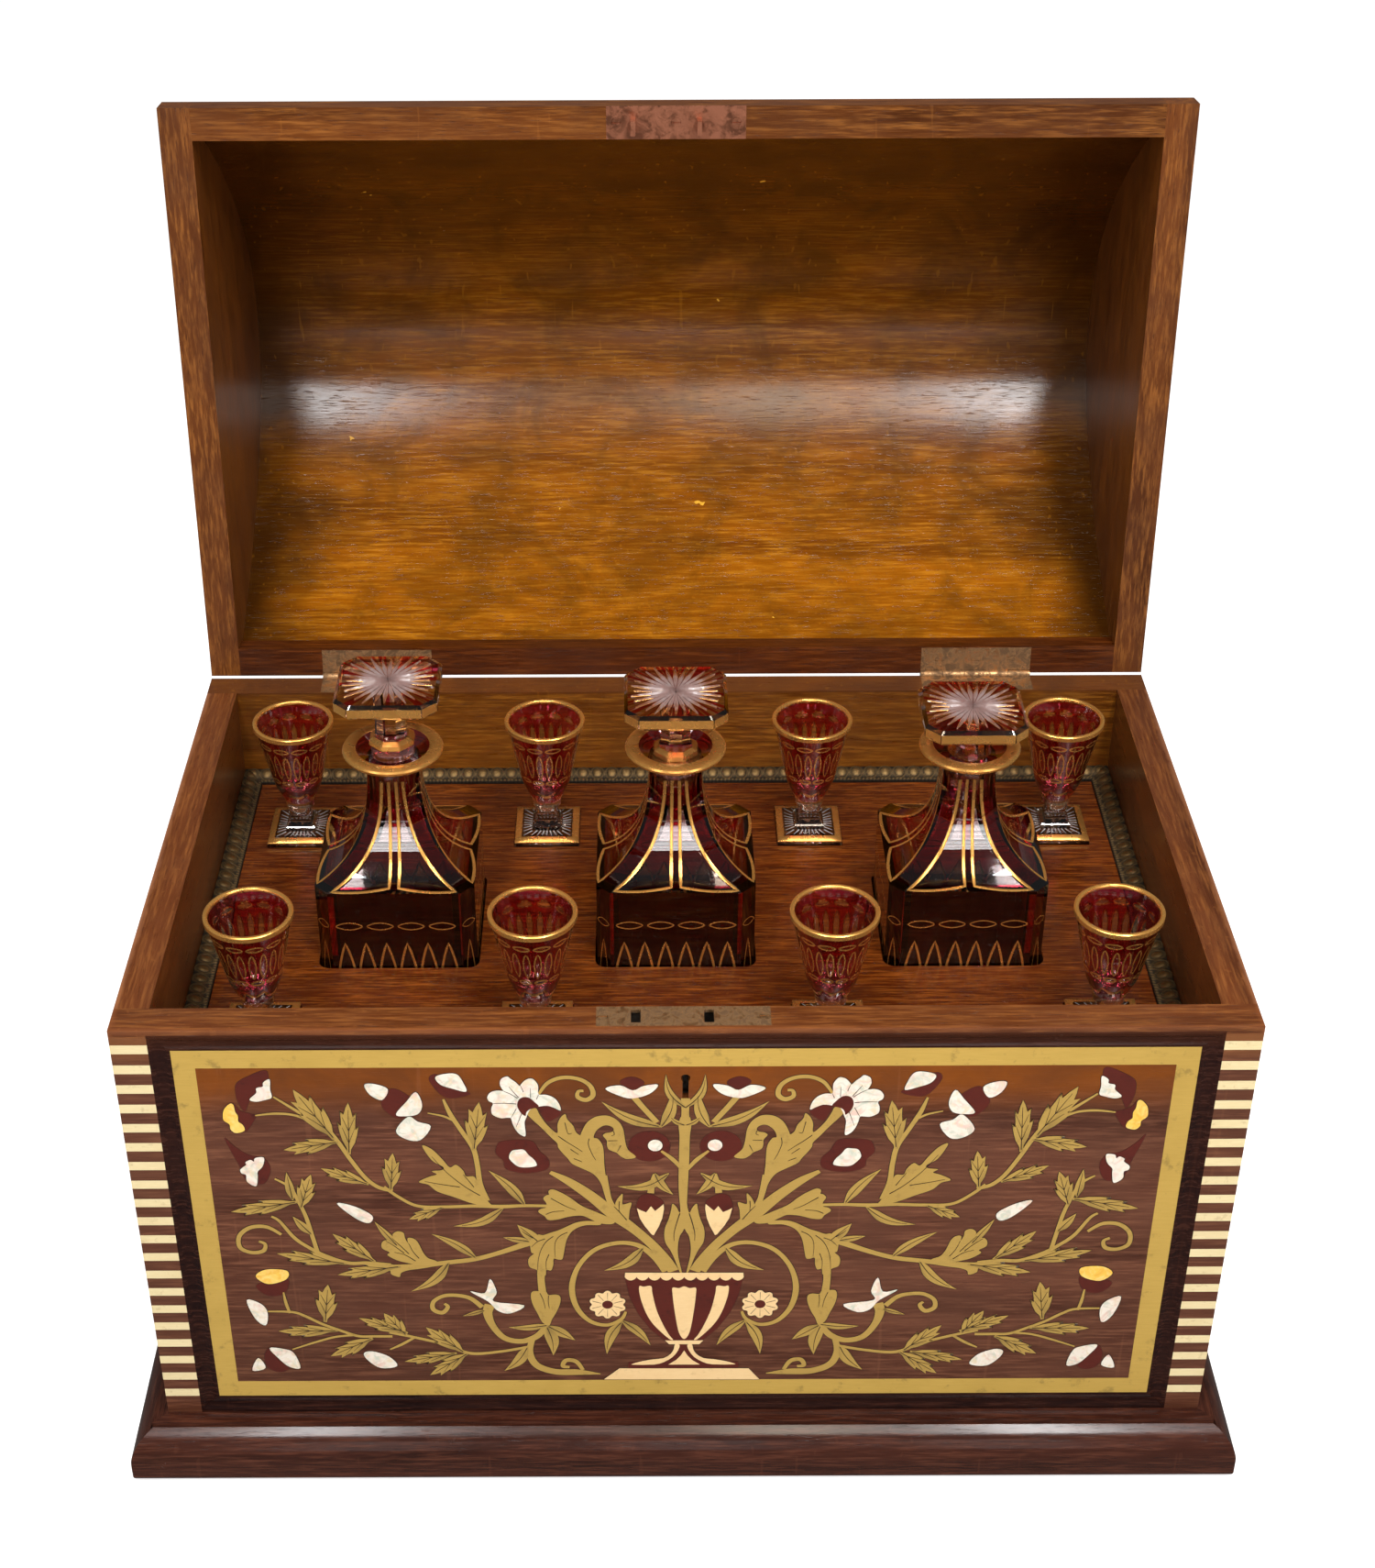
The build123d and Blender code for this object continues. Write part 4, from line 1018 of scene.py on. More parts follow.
@dataclass
class TopSlip:
    """The thin dark slip that carries the top ebonised strip on up to the rim."""

    proud: float = 0.25
    lap: float = 0.4
    rim: float = 2.7
    rounding: float = 0.3

    def build(self) -> None:
        """Builds the slip: a section with softened edges along x, its ends drawn to a point."""
        low, high = (np.array(corner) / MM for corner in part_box("dark_frame"))
        face, foot = low[1], high[2] - self.lap
        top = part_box("case_front")[1][2] / MM - self.rim
        ring = np.array([(face, foot), (face - self.proud, foot + self.rounding),
                         (face - self.proud, top - self.rounding), (face, top),
                         (face + self.rounding, top), (face + self.rounding, foot)])
        along = np.array([low[0], low[0], high[0], high[0]])
        centre = np.broadcast_to(ring.mean(0), ring.shape)
        across = np.stack([centre, ring, ring, centre], 1)
        bar = np.dstack([np.broadcast_to(along, across.shape[:2]), across])
        Shell("dark_top_slip").grid(bar, rows=True).piece(
            "ebony", "case", "ebonised_wood", crease=20.0)


@dataclass
class GalleryTrim:
    """The pressed trim round the tray: a row of eggs between darts over a fine beaded line."""

    length: float = 486.8
    depth: float = 278.8
    base: float = 223.5
    width: float = 10.5
    pitch: float = 8.1
    bead_pitch: float = 2.1
    step: float = 0.55

    def profile(self) -> Array:
        """The trim's section as (inset, height): thick by the wall, falling to a thin edge.

        Returns:
            The flat underside's corners, then the top from the wall to the thin edge.
        """
        t = np.linspace(0.0, 1.0, 15)
        inset = self.width * t
        height = 1.6 + 2.3 * (1 - smooth((t - 0.15) / 0.8))
        top = np.stack([inset, height], -1)[::-1]
        under = np.array([[0.0, 0.0], [self.width, 0.0]])
        return np.vstack([top, under])[::-1]

    def relief(self, x: Array, share: Array) -> Array:
        """Lift of the eggs, darts and beads: ovals at one pitch and small domes at another.

        Args:
            x: the distance along the bar.
            share: the place in the section, from its underside to the thin edge.

        Returns:
            The lift in millimetres.
        """
        t = np.clip((share * 16 - 2) / 14, 0.0, 1.0)
        on_top = (share > 1.5 / 16).astype(float)
        u = (x / self.pitch) % 1.0 - 0.5
        egg = np.clip(1 - (u / 0.33) ** 2 - ((t - 0.42) / 0.3) ** 2, 0.0, 1.0) ** 0.5
        ring = np.exp(-((np.hypot(u / 0.42, (t - 0.42) / 0.4) - 1) / 0.12) ** 2)
        dart = np.clip(1 - np.abs(np.abs(u) - 0.5) / 0.05, 0.0, 1.0)
        dart = dart * np.clip(1 - np.abs(t - 0.5) / 0.35, 0, 1)
        wave = 0.5 + 0.5 * np.cos(2 * math.pi * x / self.bead_pitch)
        beads = np.clip(1 - ((t - 0.9) / 0.07) ** 2, 0, 1) * wave
        return on_top * (0.95 * egg + 0.5 * ring + 0.7 * dart + 0.9 * beads) * (t < 0.99)

    def build(self) -> None:
        """Builds the four bars of the trim."""
        names = ("trim_front", "trim_right", "trim_back", "trim_left")
        bars = MitredMoulding(self.length, self.depth, self.base, self.profile(), "bronze_trim")
        for turn, node in enumerate(names):
            long = self.depth if turn % 2 else self.length
            shell = bars.side("pressed_" + node, turn, int(long / self.step), self.relief)
            shell.piece("bronze", "case", bars.slot, [node], crease=60.0)


# The glass.

@dataclass
class Decanter:
    """A square ruby decanter: cut corners, a swept shoulder, an eight-sided neck and a gilt lip."""

    number: int
    x: float
    base: float = 153.5
    half: float = 39.5
    cut: float = 6.8
    body: float = 115.0
    neck: float = 49.0
    neck_half: float = 12.9
    wall: float = 4.2
    floor: float = 12.0
    lip_radius: float = 24.75
    lip_height: float = 12.5
    bore: float = 9.6
    mouth: float = 18.25
    arch_tip: float = 84.7
    lens_line: float = 95.2
    centre_strip: float = 1.9
    lens_pitch: float = 15.4
    lens_half: tuple[float, float] = (6.5, 2.1)
    arch_pitch: float = 10.3
    arch_half: float = 4.6
    arch_height: float = 26.0

    def __post_init__(self) -> None:
        """Works out the side's outline once: half-width and height against distance along it."""
        fall, climb = self.half - self.neck_half, self.neck
        sweep = bezier([(self.half, self.body),
                        (self.half - fall * 0.58, self.body + climb * 0.06),
                        (self.neck_half + fall * 0.023, self.body + climb * 0.30),
                        (self.neck_half, self.body + climb)], 200)
        side = np.vstack([[(self.half, 0.0)], sweep])
        self.flat = self.with_length(side)
        corner = side.copy()
        corner[:, 0] = (2 * side[:, 0] - self.cut) * math.sqrt(0.5)
        self.corner = self.with_length(corner)

    @staticmethod
    def with_length(side: Array) -> Array:
        """Adds each point's distance along the outline as a third column."""
        step = np.hypot(*np.diff(side, axis=0).T)
        return np.column_stack([side, np.concatenate([[0.0], np.cumsum(step)])])

    def on_face(self, turn: float, table: Array) -> Place:
        """A function that puts (a, s, height) on one upright face of the decanter.

        Args:
            turn: how far the face is turned from the front, in radians.
            table: the face's outline.

        Returns:
            The function: a runs across the face and s up along it.
        """
        slope_w, slope_z = (np.gradient(table[:, k], table[:, 2]) for k in (0, 1))

        def place(a: Array, s: Array, height: Array) -> Array:
            """Puts points on the face.

            Args:
                a: the distance across it.
                s: the distance along it.
                height: the height over it.

            Returns:
                The points in space.
            """
            w, z = np.interp(s, table[:, 2], table[:, 0]), np.interp(s, table[:, 2], table[:, 1])
            nw, nz = np.interp(s, table[:, 2], slope_z), np.interp(s, table[:, 2], -slope_w)
            flat = np.stack([a, -(w + height * nw), self.base + z + height * nz], -1)
            return turned_about(flat, (self.x, 0.0), turn)
        return place

    def heights(self) -> Array:
        """The heights of the outer surface's rows, closest at the pattern and the shoulder."""
        low = np.linspace(0.0, 60.0, 4)[:-1]
        return np.concatenate([low, np.arange(60.0, self.body, 0.9), [self.body],
                               self.body + self.neck * np.linspace(0.0, 1.0, 48)[1:] ** 1.6])

    def ring(self, z: Array, half: Array, columns: int) -> tuple[Array, Array, Array]:
        """Rings of the eight-sided section at several heights.

        Args:
            z: heights over the base.
            half: half the width across flats at each height.
            columns: steps across each flat; a corner takes a sixth as many.

        Returns:
            The grid, and for each column its share across its face and whether it is a flat.
        """
        share = np.linspace(-1.0, 1.0, columns, endpoint=False)
        small = np.linspace(-1.0, 1.0, max(columns // 6, 2), endpoint=False)
        parts, across, is_flat = [], [], []
        for k in range(4):
            w = half[:, None]
            flat = np.stack([share * (w - self.cut), -w + 0 * share], -1)
            t = (small + 1) / 2
            edge = np.stack([w - self.cut + t * self.cut, -w + t * self.cut], -1)
            for points, s, kind in ((flat, share, 1.0), (edge, small, 0.0)):
                level = np.broadcast_to((self.base + z)[:, None], points.shape[:2])
                full = np.dstack([points, level])
                parts.append(turned_about(full, (self.x, 0.0), k * math.pi / 2))
                across.append(s)
                is_flat.append(np.full(len(s), kind))
        return np.concatenate(parts, 1), np.concatenate(across), np.concatenate(is_flat)

    def flash(self, z: Array, half: Array, across: Array, is_flat: Array) -> Array:
        """How much ruby covers the surface: all but the lenses, arches, panels and the neck.

        Args:
            z: heights of the rows.
            half: half-widths of the rows.
            across: each column's share across its face.
            is_flat: 1 on the four flats.

        Returns:
            The cover, from 0 to 1, for each point.
        """
        a = across[None, :] * (half[:, None] - self.cut)
        h = z[:, None] + 0 * a
        v = ((a / self.lens_pitch + 0.5) % 1.0 - 0.5) / 0.42
        lens = 1 - (v ** 2 + ((h - self.lens_line) / 2.2) ** 2)
        u = ((a / self.arch_pitch) % 1.0 - 0.5) / 0.36
        point = smooth((h - self.arch_tip + 9) / 9) * 0.95
        arch = np.where(h < self.arch_tip, 1 - np.abs(u) - point, -1.0)
        panel = np.where((h > self.body + 1.0) & (np.abs(a) > self.centre_strip), 1.0, -1.0)
        clear = np.maximum(np.maximum(lens, arch), panel * 0.55) * is_flat[None, :]
        cover = 1 - np.clip(clear, 0.0, 1.0) ** 0.5
        return cover * (1 - 0.85 * smooth((h - self.body - self.neck + 6) / 2))

    def build(self) -> None:
        """Builds the glass, the gilt lip and the gilding."""
        body, name = f"decanter_{self.number}", f"ruby_decanter_{self.number}"
        z = self.heights()
        half = np.interp(z, self.flat[:, 1], self.flat[:, 0])
        grid, across, is_flat = self.ring(z, half, 60)
        cover = self.flash(z, half, across, is_flat)
        shell = Shell(name).grid(grid, cols=True, flash=cover).lid(grid[0], False, 1.0)
        columns = grid.shape[1]
        neck_z = self.body + self.neck
        lip_top = neck_z + self.lip_height
        outer = self.lip_radius
        lip = revolved([(self.neck_half + 1.4, neck_z + self.lip_height / 3),
                        (self.neck_half + 4.2, neck_z + self.lip_height * 0.52),
                        (outer - 3.0, lip_top - 3.4), (outer - 0.9, lip_top - 2.9),
                        (outer - 0.1, lip_top - 2.0), (outer, lip_top - 1.2),
                        (outer - 0.5, lip_top - 0.4), (outer - 1.4, lip_top),
                        (self.mouth + 0.8, lip_top), (self.mouth, lip_top - 0.3),
                        (14.6, lip_top - 1.9), (10.7, lip_top - 3.6), (self.bore, lip_top - 19.0),
                        (self.bore, lip_top - 30.5)], (self.x, 0.0, self.base), columns)
        lip = self.matched(lip, grid[-1])
        glow = np.zeros(lip.shape[:2])
        glow[1:4] = 0.9
        glow[8:12] = 1.0
        shell.grid(np.concatenate([grid[-1:], lip]), cols=True, flash=np.vstack([cover[-1:], glow]))
        inside_z = np.array([lip_top - 31.0, neck_z - self.neck / 3, neck_z - self.neck * 0.5,
                             self.body + 18.0, self.body + 10.0, self.body + 4.0, self.body - 1.0,
                             self.body - self.wall, self.floor + 1.5, self.floor])
        inner_half = np.interp(inside_z, self.flat[:, 1], self.flat[:, 0]) - self.wall
        inner_half[:2] = self.bore + 0.6
        inner_half = np.maximum(inner_half, self.bore + 0.6)
        inner_half[-1] -= 1.5
        inside, _, _ = self.ring(inside_z, inner_half, 60)
        shell.grid(np.concatenate([lip[-1:], inside]), cols=True)
        shell.lid(inside[-1], True)
        shell.piece("ruby", body, "decanter_glass", [body], crease=28.0)
        self.gild(body)
        self.gild_lip(body, lip_top)

    def matched(self, grid: Array, ring: Array) -> Array:
        """Turns each round ring's points to the bearings of the neck's ring, to join it square.

        Args:
            grid: round rings with even bearings.
            ring: the neck's top ring.

        Returns:
            The rings, with the neck's bearings.
        """
        bearing = np.arctan2(ring[:, 1], ring[:, 0] - self.x)
        radius = np.hypot(grid[..., 0] - self.x, grid[..., 1])[:, :1]
        return np.stack([self.x + radius * np.cos(bearing), radius * np.sin(bearing),
                         grid[..., 2]], -1)

    def gild_lip(self, body: str, top: float) -> None:
        """Lays the broad gold ring over the lip.

        Args:
            body: the body that it rides on.
            top: the lip's top.
        """
        outer = self.lip_radius
        ring = [(outer - 3.2, top - 3.5), (outer - 0.8, top - 3.0), (outer, top - 2.0),
                (outer + 0.12, top - 1.2), (outer - 0.4, top - 0.3), (outer - 1.4, top + 0.12),
                (self.mouth + 0.6, top + 0.12), (self.mouth - 0.1, top - 0.2),
                (self.mouth + 0.8, top - 0.25), (outer - 1.6, top - 0.25), (outer - 0.8, top - 1.4),
                (outer - 1.4, top - 2.6)]
        grid = revolved(ring, (self.x, 0.0, self.base), 96)
        Shell(f"gilt_lip_{self.number}").grid(grid, rows=True, cols=True).piece(
            "gold", body, "decanter_glass")

    def panel_path(self, side: int) -> Array:
        """The outline of one shoulder panel in (a, s): down the middle strip, up by the corner.

        Args:
            side: -1 for the left panel and 1 for the right.

        Returns:
            The open outline, from neck to neck.
        """
        table = self.flat
        top, low = table[-1, 2] - 0.6, self.body + 1.2
        s_down = np.linspace(top, low + 2.4, 26)
        strip = [self.centre_strip + 0.5, self.centre_strip - 0.1]
        inner = np.stack([np.interp(s_down, [low, top], strip), s_down], -1)
        s_up = np.linspace(low, top, 34)
        edge = np.interp(s_up, table[:, 2], table[:, 0]) - self.cut - 0.9
        outer = np.stack([edge, s_up], -1)
        t = np.linspace(0.0, 1.0, 12)[1:-1, None]
        sag = np.column_stack([0 * t, -1.4 * np.sin(math.pi * t)])
        foot = inner[-1] * (1 - t) + outer[0] * t + sag
        path = np.vstack([inner, foot, outer])
        path[:, 0] *= side
        return path[::-1] if side > 0 else path

    def gild(self, body: str) -> None:
        """Lays the gold lines: shoulder panels, the lenses and the pointed arches of each side.

        Args:
            body: the body that it rides on.
        """
        shell = Shell(f"gilding_{self.number}")
        t = bearings(16)
        long, tall = self.lens_half
        lens = np.stack([long * np.cos(t), tall * np.sin(t) * (1 - 0.35 * np.cos(t) ** 2)], -1)
        rise = np.linspace(0.0, 1.0, 9)
        leg = np.stack([self.arch_half * np.cos(rise * math.pi / 2) ** 0.9,
                        self.arch_tip - self.arch_height * (1 - rise)], -1)
        arch = np.vstack([leg, leg[-2::-1] * [-1, 1]])
        for k in range(4):
            on_flat = self.on_face(k * math.pi / 2, self.flat)
            for side in (-1, 1):
                shell.bead(self.panel_path(side), 1.55, 0.18, on_flat)
            for step in (-1.5, -0.5, 0.5, 1.5):
                path = lens + [step * self.lens_pitch, self.lens_line]
                shell.bead(path, 0.7, 0.1, on_flat, True)
            for step in (-2.5, -1.5, -0.5, 0.5, 1.5, 2.5):
                path = arch + [step * self.arch_pitch, 0.0]
                shell.bead(path, 1.15, 0.14, on_flat)
            on_corner = self.on_face((k + 0.5) * math.pi / 2, self.corner)
            shell.bead(arch * [0.6, 1.0], 0.6, 0.1, on_corner)
            shell.bead(lens * [0.6, 1.0] + [0.0, self.lens_line], 0.5, 0.1, on_corner, True)
        shell.piece("gold", body, "decanter_glass", weld=0.0005)


@dataclass
class Stopper:
    """A cut stopper: tapered plug, faceted collar, eight-sided stem and a star-cut ruby plate."""

    number: int
    x: float
    rise: float
    seat: float = 326.4
    bore: float = 9.6
    bore_top: float = 10.7
    taper: float = 15.4
    plug: float = 15.4
    fit: float = 0.3
    flare: float = 0.07
    collar: float = 2.1
    stem: float = 23.9
    stem_width: float = 16.0
    waist: float = 14.4
    plate: float = 8.0
    side: float = 50.0
    cut: float = 7.0
    bevel: float = 1.7
    rays: int = 28
    ray_swell: float = 0.56
    ray_taper: float = 0.44

    def square_ring(self, inset: float, z: float, columns: int) -> Array:
        """A ring on the cut-square outline, by even bearings from its middle.

        Args:
            inset: how far inside the full outline it lies.
            z: its height.
            columns: how many points.

        Returns:
            The ring's points.
        """
        angle = bearings(columns)
        half = self.side / 2 - inset
        c, s = np.abs(np.cos(angle)), np.abs(np.sin(angle))
        corner = (self.side - self.cut - inset * 1.4) / (c + s)
        radius = np.minimum(half / np.maximum(c, s), corner)
        return ring_at((self.x, 0.0), radius, angle, z)

    def cut_star(self, body: str, z: float) -> None:
        """Cuts the star in the plate: rays that widen from the middle, then taper to their tips.

        Args:
            body: the body that it rides on.
            z: the plate's top.
        """
        stars, tips = Shell(f"cut_star_{self.number}"), Shell(f"gilt_tips_{self.number}")
        rim = self.square_ring(self.bevel, z, self.rays)
        for k, end in enumerate(rim):
            far = math.hypot(end[0] - self.x, end[1])
            angle = 2 * math.pi * k / self.rays
            long = min(0.93 * far, 25.0) * (1.0 if k % 2 else 0.93)
            t = np.linspace(0.02, 1.0, 15)
            full = 2 * math.pi * long * self.ray_swell / self.rays * 0.88
            taper = np.clip((1 - t) / self.ray_taper, 0, 1) ** 0.8
            width = full * np.minimum(t / self.ray_swell, taper) + 0.02
            place = on_spoke((self.x, 0.0, z), angle)
            warmth = np.pad(smooth((t - 0.5) / 0.3), 1, mode="edge")[:, None]
            stars.bead(np.stack([0 * t, t * long], -1), width, 0.8, place, flash=warmth)
            for side in (-1, 1):
                edge = np.stack([side * width[8:] / 2, t[8:] * long], -1)
                tips.bead(edge, 0.16, 0.08, place)
        stars.piece("cut", body, "stopper_glass", crease=8.0, weld=0.0005)
        tips.piece("gold", body, "stopper_glass", weld=0.0005)

    def build(self) -> None:
        """Builds the stopper's glass, its star, the gold bands of its edge and its gold collar."""
        body = f"stopper_{self.number}"
        top = self.seat + self.rise
        seat_z = min(top, self.seat)
        share = np.clip((seat_z - self.seat + self.taper) / self.taper, 0.0, 1.0)
        seat_r = self.bore + (self.bore_top - self.bore) * share - self.fit
        top_r = seat_r + (top - seat_z) * self.flare
        low_r = seat_r - (seat_z - top + self.plug) * self.flare
        columns = 288
        plug = revolved([(low_r - 1.0, top - self.plug), (low_r - 0.3, top - self.plug + 0.3),
                         (low_r, top - self.plug + 1.0), (top_r, top)], (self.x, 0.0, 0.0), columns)
        angle = bearings(columns)
        flat = 1 / np.cos((angle + math.pi / 8) % (math.pi / 4) - math.pi / 8)
        foot = top + self.collar
        rows = [(top_r - 0.6, top + 0.01), (self.stem_width / 2, foot),
                (self.waist / 2, foot + self.stem / 2), (self.stem_width / 2, foot + self.stem)]
        stem = np.stack([ring_at((self.x, 0.0), r * flat, angle, z) for r, z in rows])
        low = foot + self.stem
        high = low + self.plate
        plate = np.stack([self.square_ring(self.bevel, low, columns),
                          self.square_ring(0.0, low + self.bevel, columns),
                          self.square_ring(0.0, high - self.bevel, columns),
                          self.square_ring(self.bevel, high, columns)])
        shell = Shell(f"cut_stopper_{self.number}")
        shell.grid(np.concatenate([plug, stem, plate]), cols=True)
        shell.lid(plate[-1], True, 1.0)
        shell.lid(plug[0], False)
        shell.piece("bowl", body, "stopper_glass", [body], crease=18.0)
        self.cut_star(body, high)
        gilt = Shell(f"gilt_edge_{self.number}")
        reach, corner = self.side / 2, self.side / 2 - self.cut
        levels = np.array([low + self.bevel + 0.1, high - self.bevel - 0.1])
        for turn in range(4):
            faces = [((reach - 0.3, -corner - 0.35), (corner + 0.35, -reach + 0.3))]
            if turn % 2 == 0:
                faces.append(((corner - 0.3, -reach), (0.3 - corner, -reach)))
            for (x0, y0), (x1, y1) in faces:
                out = np.array([y1 - y0, x0 - x1]) / math.hypot(x1 - x0, y1 - y0)
                band = np.array([[(x, y, z) for x, y in ((x0, y0), (x1, y1))] for z in levels])
                skin = band + [*(-0.1 * out), 0.0]
                back = band + [*(0.25 * out), 0.0]
                box = np.concatenate([skin, back[::-1]])
                middle = np.broadcast_to(box.mean(0, keepdims=True), box.shape)
                box = np.concatenate([middle[:, :1], box, middle[:, 1:]], 1)
                gilt.grid(turned_about(box, (self.x, 0.0), turn * math.pi / 2), rows=True)
        gilt.piece("gold", body, "stopper_glass", crease=20.0)
        if self.rise >= 0:
            collar = [(10.9, 0.05), (11.0, 0.5), (10.6, 2.6), (8.3, 4.1), (8.0, 3.7), (9.6, 2.4),
                      (10.0, 0.4)]
        else:
            collar = [(8.25, 0.1), (8.3, 1.0), (8.25, 3.6), (7.9, 3.6), (7.8, 0.4)]
        grid = np.stack([ring_at((self.x, 0.0), r * flat[::4], angle[::4], top + z)
                         for r, z in collar])
        Shell(f"gilt_collar_{self.number}").grid(grid, rows=True, cols=True).piece(
            "gold", body, "stopper_glass", crease=20.0)


@dataclass
class CordialGlass:
    """A small glass: ruby bowl with cut ovals, a stepped square stem and a star-cut square foot."""

    number: int
    x: float
    y: float
    base: float = 222.3
    foot: float = 34.5
    height: float = 70.6
    bowl_base: float = 22.4
    rim: float = 21.1
    wall: float = 2.0
    radius_shares: tuple[float, ...] = (0.40, 0.515, 0.615, 0.715, 0.795, 0.915, 1.0)
    height_shares: tuple[float, ...] = (0.02, 0.125, 0.25, 0.465, 0.615, 0.863, 1.0)
    ovals: int = 20
    lenses: int = 12
    upper_line: float = 62.2
    oval_line: float = 50.4
    lower_line: float = 39.2
    foot_bevel: float = 4.3
    foot_top: float = 5.2
    foot_rays: int = 32
    ray_length: float = 4.5
    cut_points: int = 16
    cut_reach: float = 0.75
    cut_depth: float = 1.1
    step: float = 8.0

    def bowl(self, count: int) -> Array:
        """The bowl's outer outline, a smooth curve through its measured radii.

        Args:
            count: how many points.

        Returns:
            The points (radius, height).
        """
        tall = self.height - self.bowl_base
        points = [(self.rim * r, self.bowl_base + tall * h)
                  for r, h in zip(self.radius_shares, self.height_shares)]
        return flowing(points, count)

    def on_bowl(self) -> Place:
        """A function that puts (turn times rim radius, height) on the bowl.

        Returns:
            The function: a is the distance round the rim and s the height over the foot.
        """
        outline = self.bowl(60)
        slope = np.gradient(outline[:, 0], outline[:, 1])

        def place(a: Array, s: Array, height: Array) -> Array:
            """Puts points on the bowl.

            Args:
                a: the distance round its rim.
                s: the height over the foot's base.
                height: the height over it.

            Returns:
                The points in space.
            """
            lean = np.interp(s, outline[:, 1], slope)
            r = np.interp(s, outline[:, 1], outline[:, 0]) + height
            angle = a / self.rim
            return np.stack([self.x + r * np.cos(angle), self.y + r * np.sin(angle),
                             self.base + s - height * lean], -1)
        return place

    def cover(self, z: Array, columns: int) -> Array:
        """How much ruby covers the bowl: all but the ovals and the two rows of lenses.

        Args:
            z: heights of the rows.
            columns: how many bearings.

        Returns:
            The cover for each point.
        """
        turn = np.linspace(0.0, 1.0, columns, endpoint=False)[None, :]
        h = z[:, None]
        u = ((turn * self.ovals) % 1.0 - 0.5) / 0.34
        oval = 1 - u ** 2 - ((h - self.oval_line) / 7.8) ** 2
        v = ((turn * self.lenses) % 1.0 - 0.5) / 0.42
        upper = 1 - v ** 2 - ((h - self.upper_line) / 1.4) ** 2
        lower = 1 - v ** 2 - ((h - self.lower_line) / 1.2) ** 2
        clear = np.clip(np.maximum(np.maximum(oval, upper), lower) * 1.6, 0.0, 1.0)
        return 1 - 0.9 * clear

    def square(self, half: float, z: float, columns: int) -> Array:
        """A ring on a square, by the bearings of the bowl's columns.

        Args:
            half: half the square's side.
            z: its height over the foot's base.
            columns: how many points.

        Returns:
            The ring's points.
        """
        angle = bearings(columns)
        radius = half / np.maximum(np.abs(np.cos(angle)), np.abs(np.sin(angle)))
        return ring_at((self.x, self.y), radius, angle, self.base + z)

    def build(self) -> None:
        """Builds the glass, its foot's star, its gold rim and lines and its foot's gold border."""
        body, columns = f"glass_{self.number}", 144
        half = self.foot / 2
        steps = [(half - 0.4, 0.0), (half, 0.4), (half, 3.6), (half - 0.4, 4.0),
                 (half - self.foot_bevel, self.foot_top), (self.step, self.foot_top),
                 (self.step, 7.4), (5.6, 9.8), (5.0, 12.0), (5.5, 14.5), (6.1, 16.8)]
        stem = np.stack([self.square(r, z, columns) for r, z in steps])
        outline = self.bowl(46)
        knop = revolved([(7.6, 18.6), (7.9, 20.4), (8.0, 21.6), (8.2, self.bowl_base + 0.3)],
                        (self.x, self.y, self.base), columns)
        outer = revolved(outline, (self.x, self.y, self.base), columns)
        lip = [(self.rim - 0.2, self.height + 0.25), (self.rim - self.wall / 2, self.height + 0.4),
               (self.rim - self.wall + 0.2, self.height + 0.25)]
        well = [(r - self.wall, z) for r, z in outline[::-1] if z > self.bowl_base + 12.0]
        last, bottom = well[-1][0], ((0.86, 8.0), (0.55, 5.4), (0.2, 4.4))
        well += [(last * share, self.bowl_base + z) for share, z in bottom]
        inside = revolved(lip + well, (self.x, self.y, self.base), columns)
        cover = np.vstack([np.zeros((len(stem) + len(knop) - 2, columns)),
                           np.full((2, columns), 0.35), self.cover(outline[:, 1], columns),
                           np.zeros((len(inside), columns))])
        shell = Shell(f"cordial_glass_{self.number}")
        shell.grid(np.concatenate([stem, knop, outer, inside]), cols=True, flash=cover)
        shell.lid(inside[-1], True)
        self.star_foot(shell, stem[0], columns)
        shell.piece("bowl", body, "cordial_glass", [body], crease=32.0)
        self.star_rays(body)
        self.gild(body)

    def star_foot(self, shell: Shell, ring: Array, columns: int) -> None:
        """Closes the underside with a star of grooves.

        Args:
            shell: the glass.
            ring: the ring that it starts from.
            columns: how many bearings.
        """
        share = np.linspace(0.0, 1.0, 10)[:, None]
        angle = bearings(columns)[None, :]
        u = np.abs((angle / (2 * math.pi) * self.cut_points) % 1.0 - 0.5) * 2
        deep = np.sin(math.pi * np.clip(share / self.cut_reach, 0, 1))
        groove = np.clip(1 - u, 0, 1) * deep * (share < self.cut_reach)
        middle = np.array([self.x, self.y, self.base])
        grid = ring[None] * share[..., None] + middle * (1 - share[..., None])
        grid[..., 2] = self.base + self.cut_depth * groove
        shell.grid(grid, cols=True)

    def star_rays(self, body: str) -> None:
        """Draws the star's ground rays where they show, round the stem on the foot's flat top.

        Args:
            body: the body that it rides on.
        """
        rays = Shell(f"foot_star_{self.number}")
        t = np.linspace(0.0, 1.0, 4)
        for angle in bearings(self.foot_rays):
            wide = max(abs(math.cos(angle)), abs(math.sin(angle)))
            place = on_spoke((self.x, self.y, self.base + self.foot_top), angle)
            path = np.stack([0 * t, (self.step + 0.2 + self.ray_length * t) / wide], -1)
            rays.bead(path, 0.85 - 0.6 * t, 0.16, place)
        rays.piece("foot_cut", body, "cordial_glass", weld=0.0005)

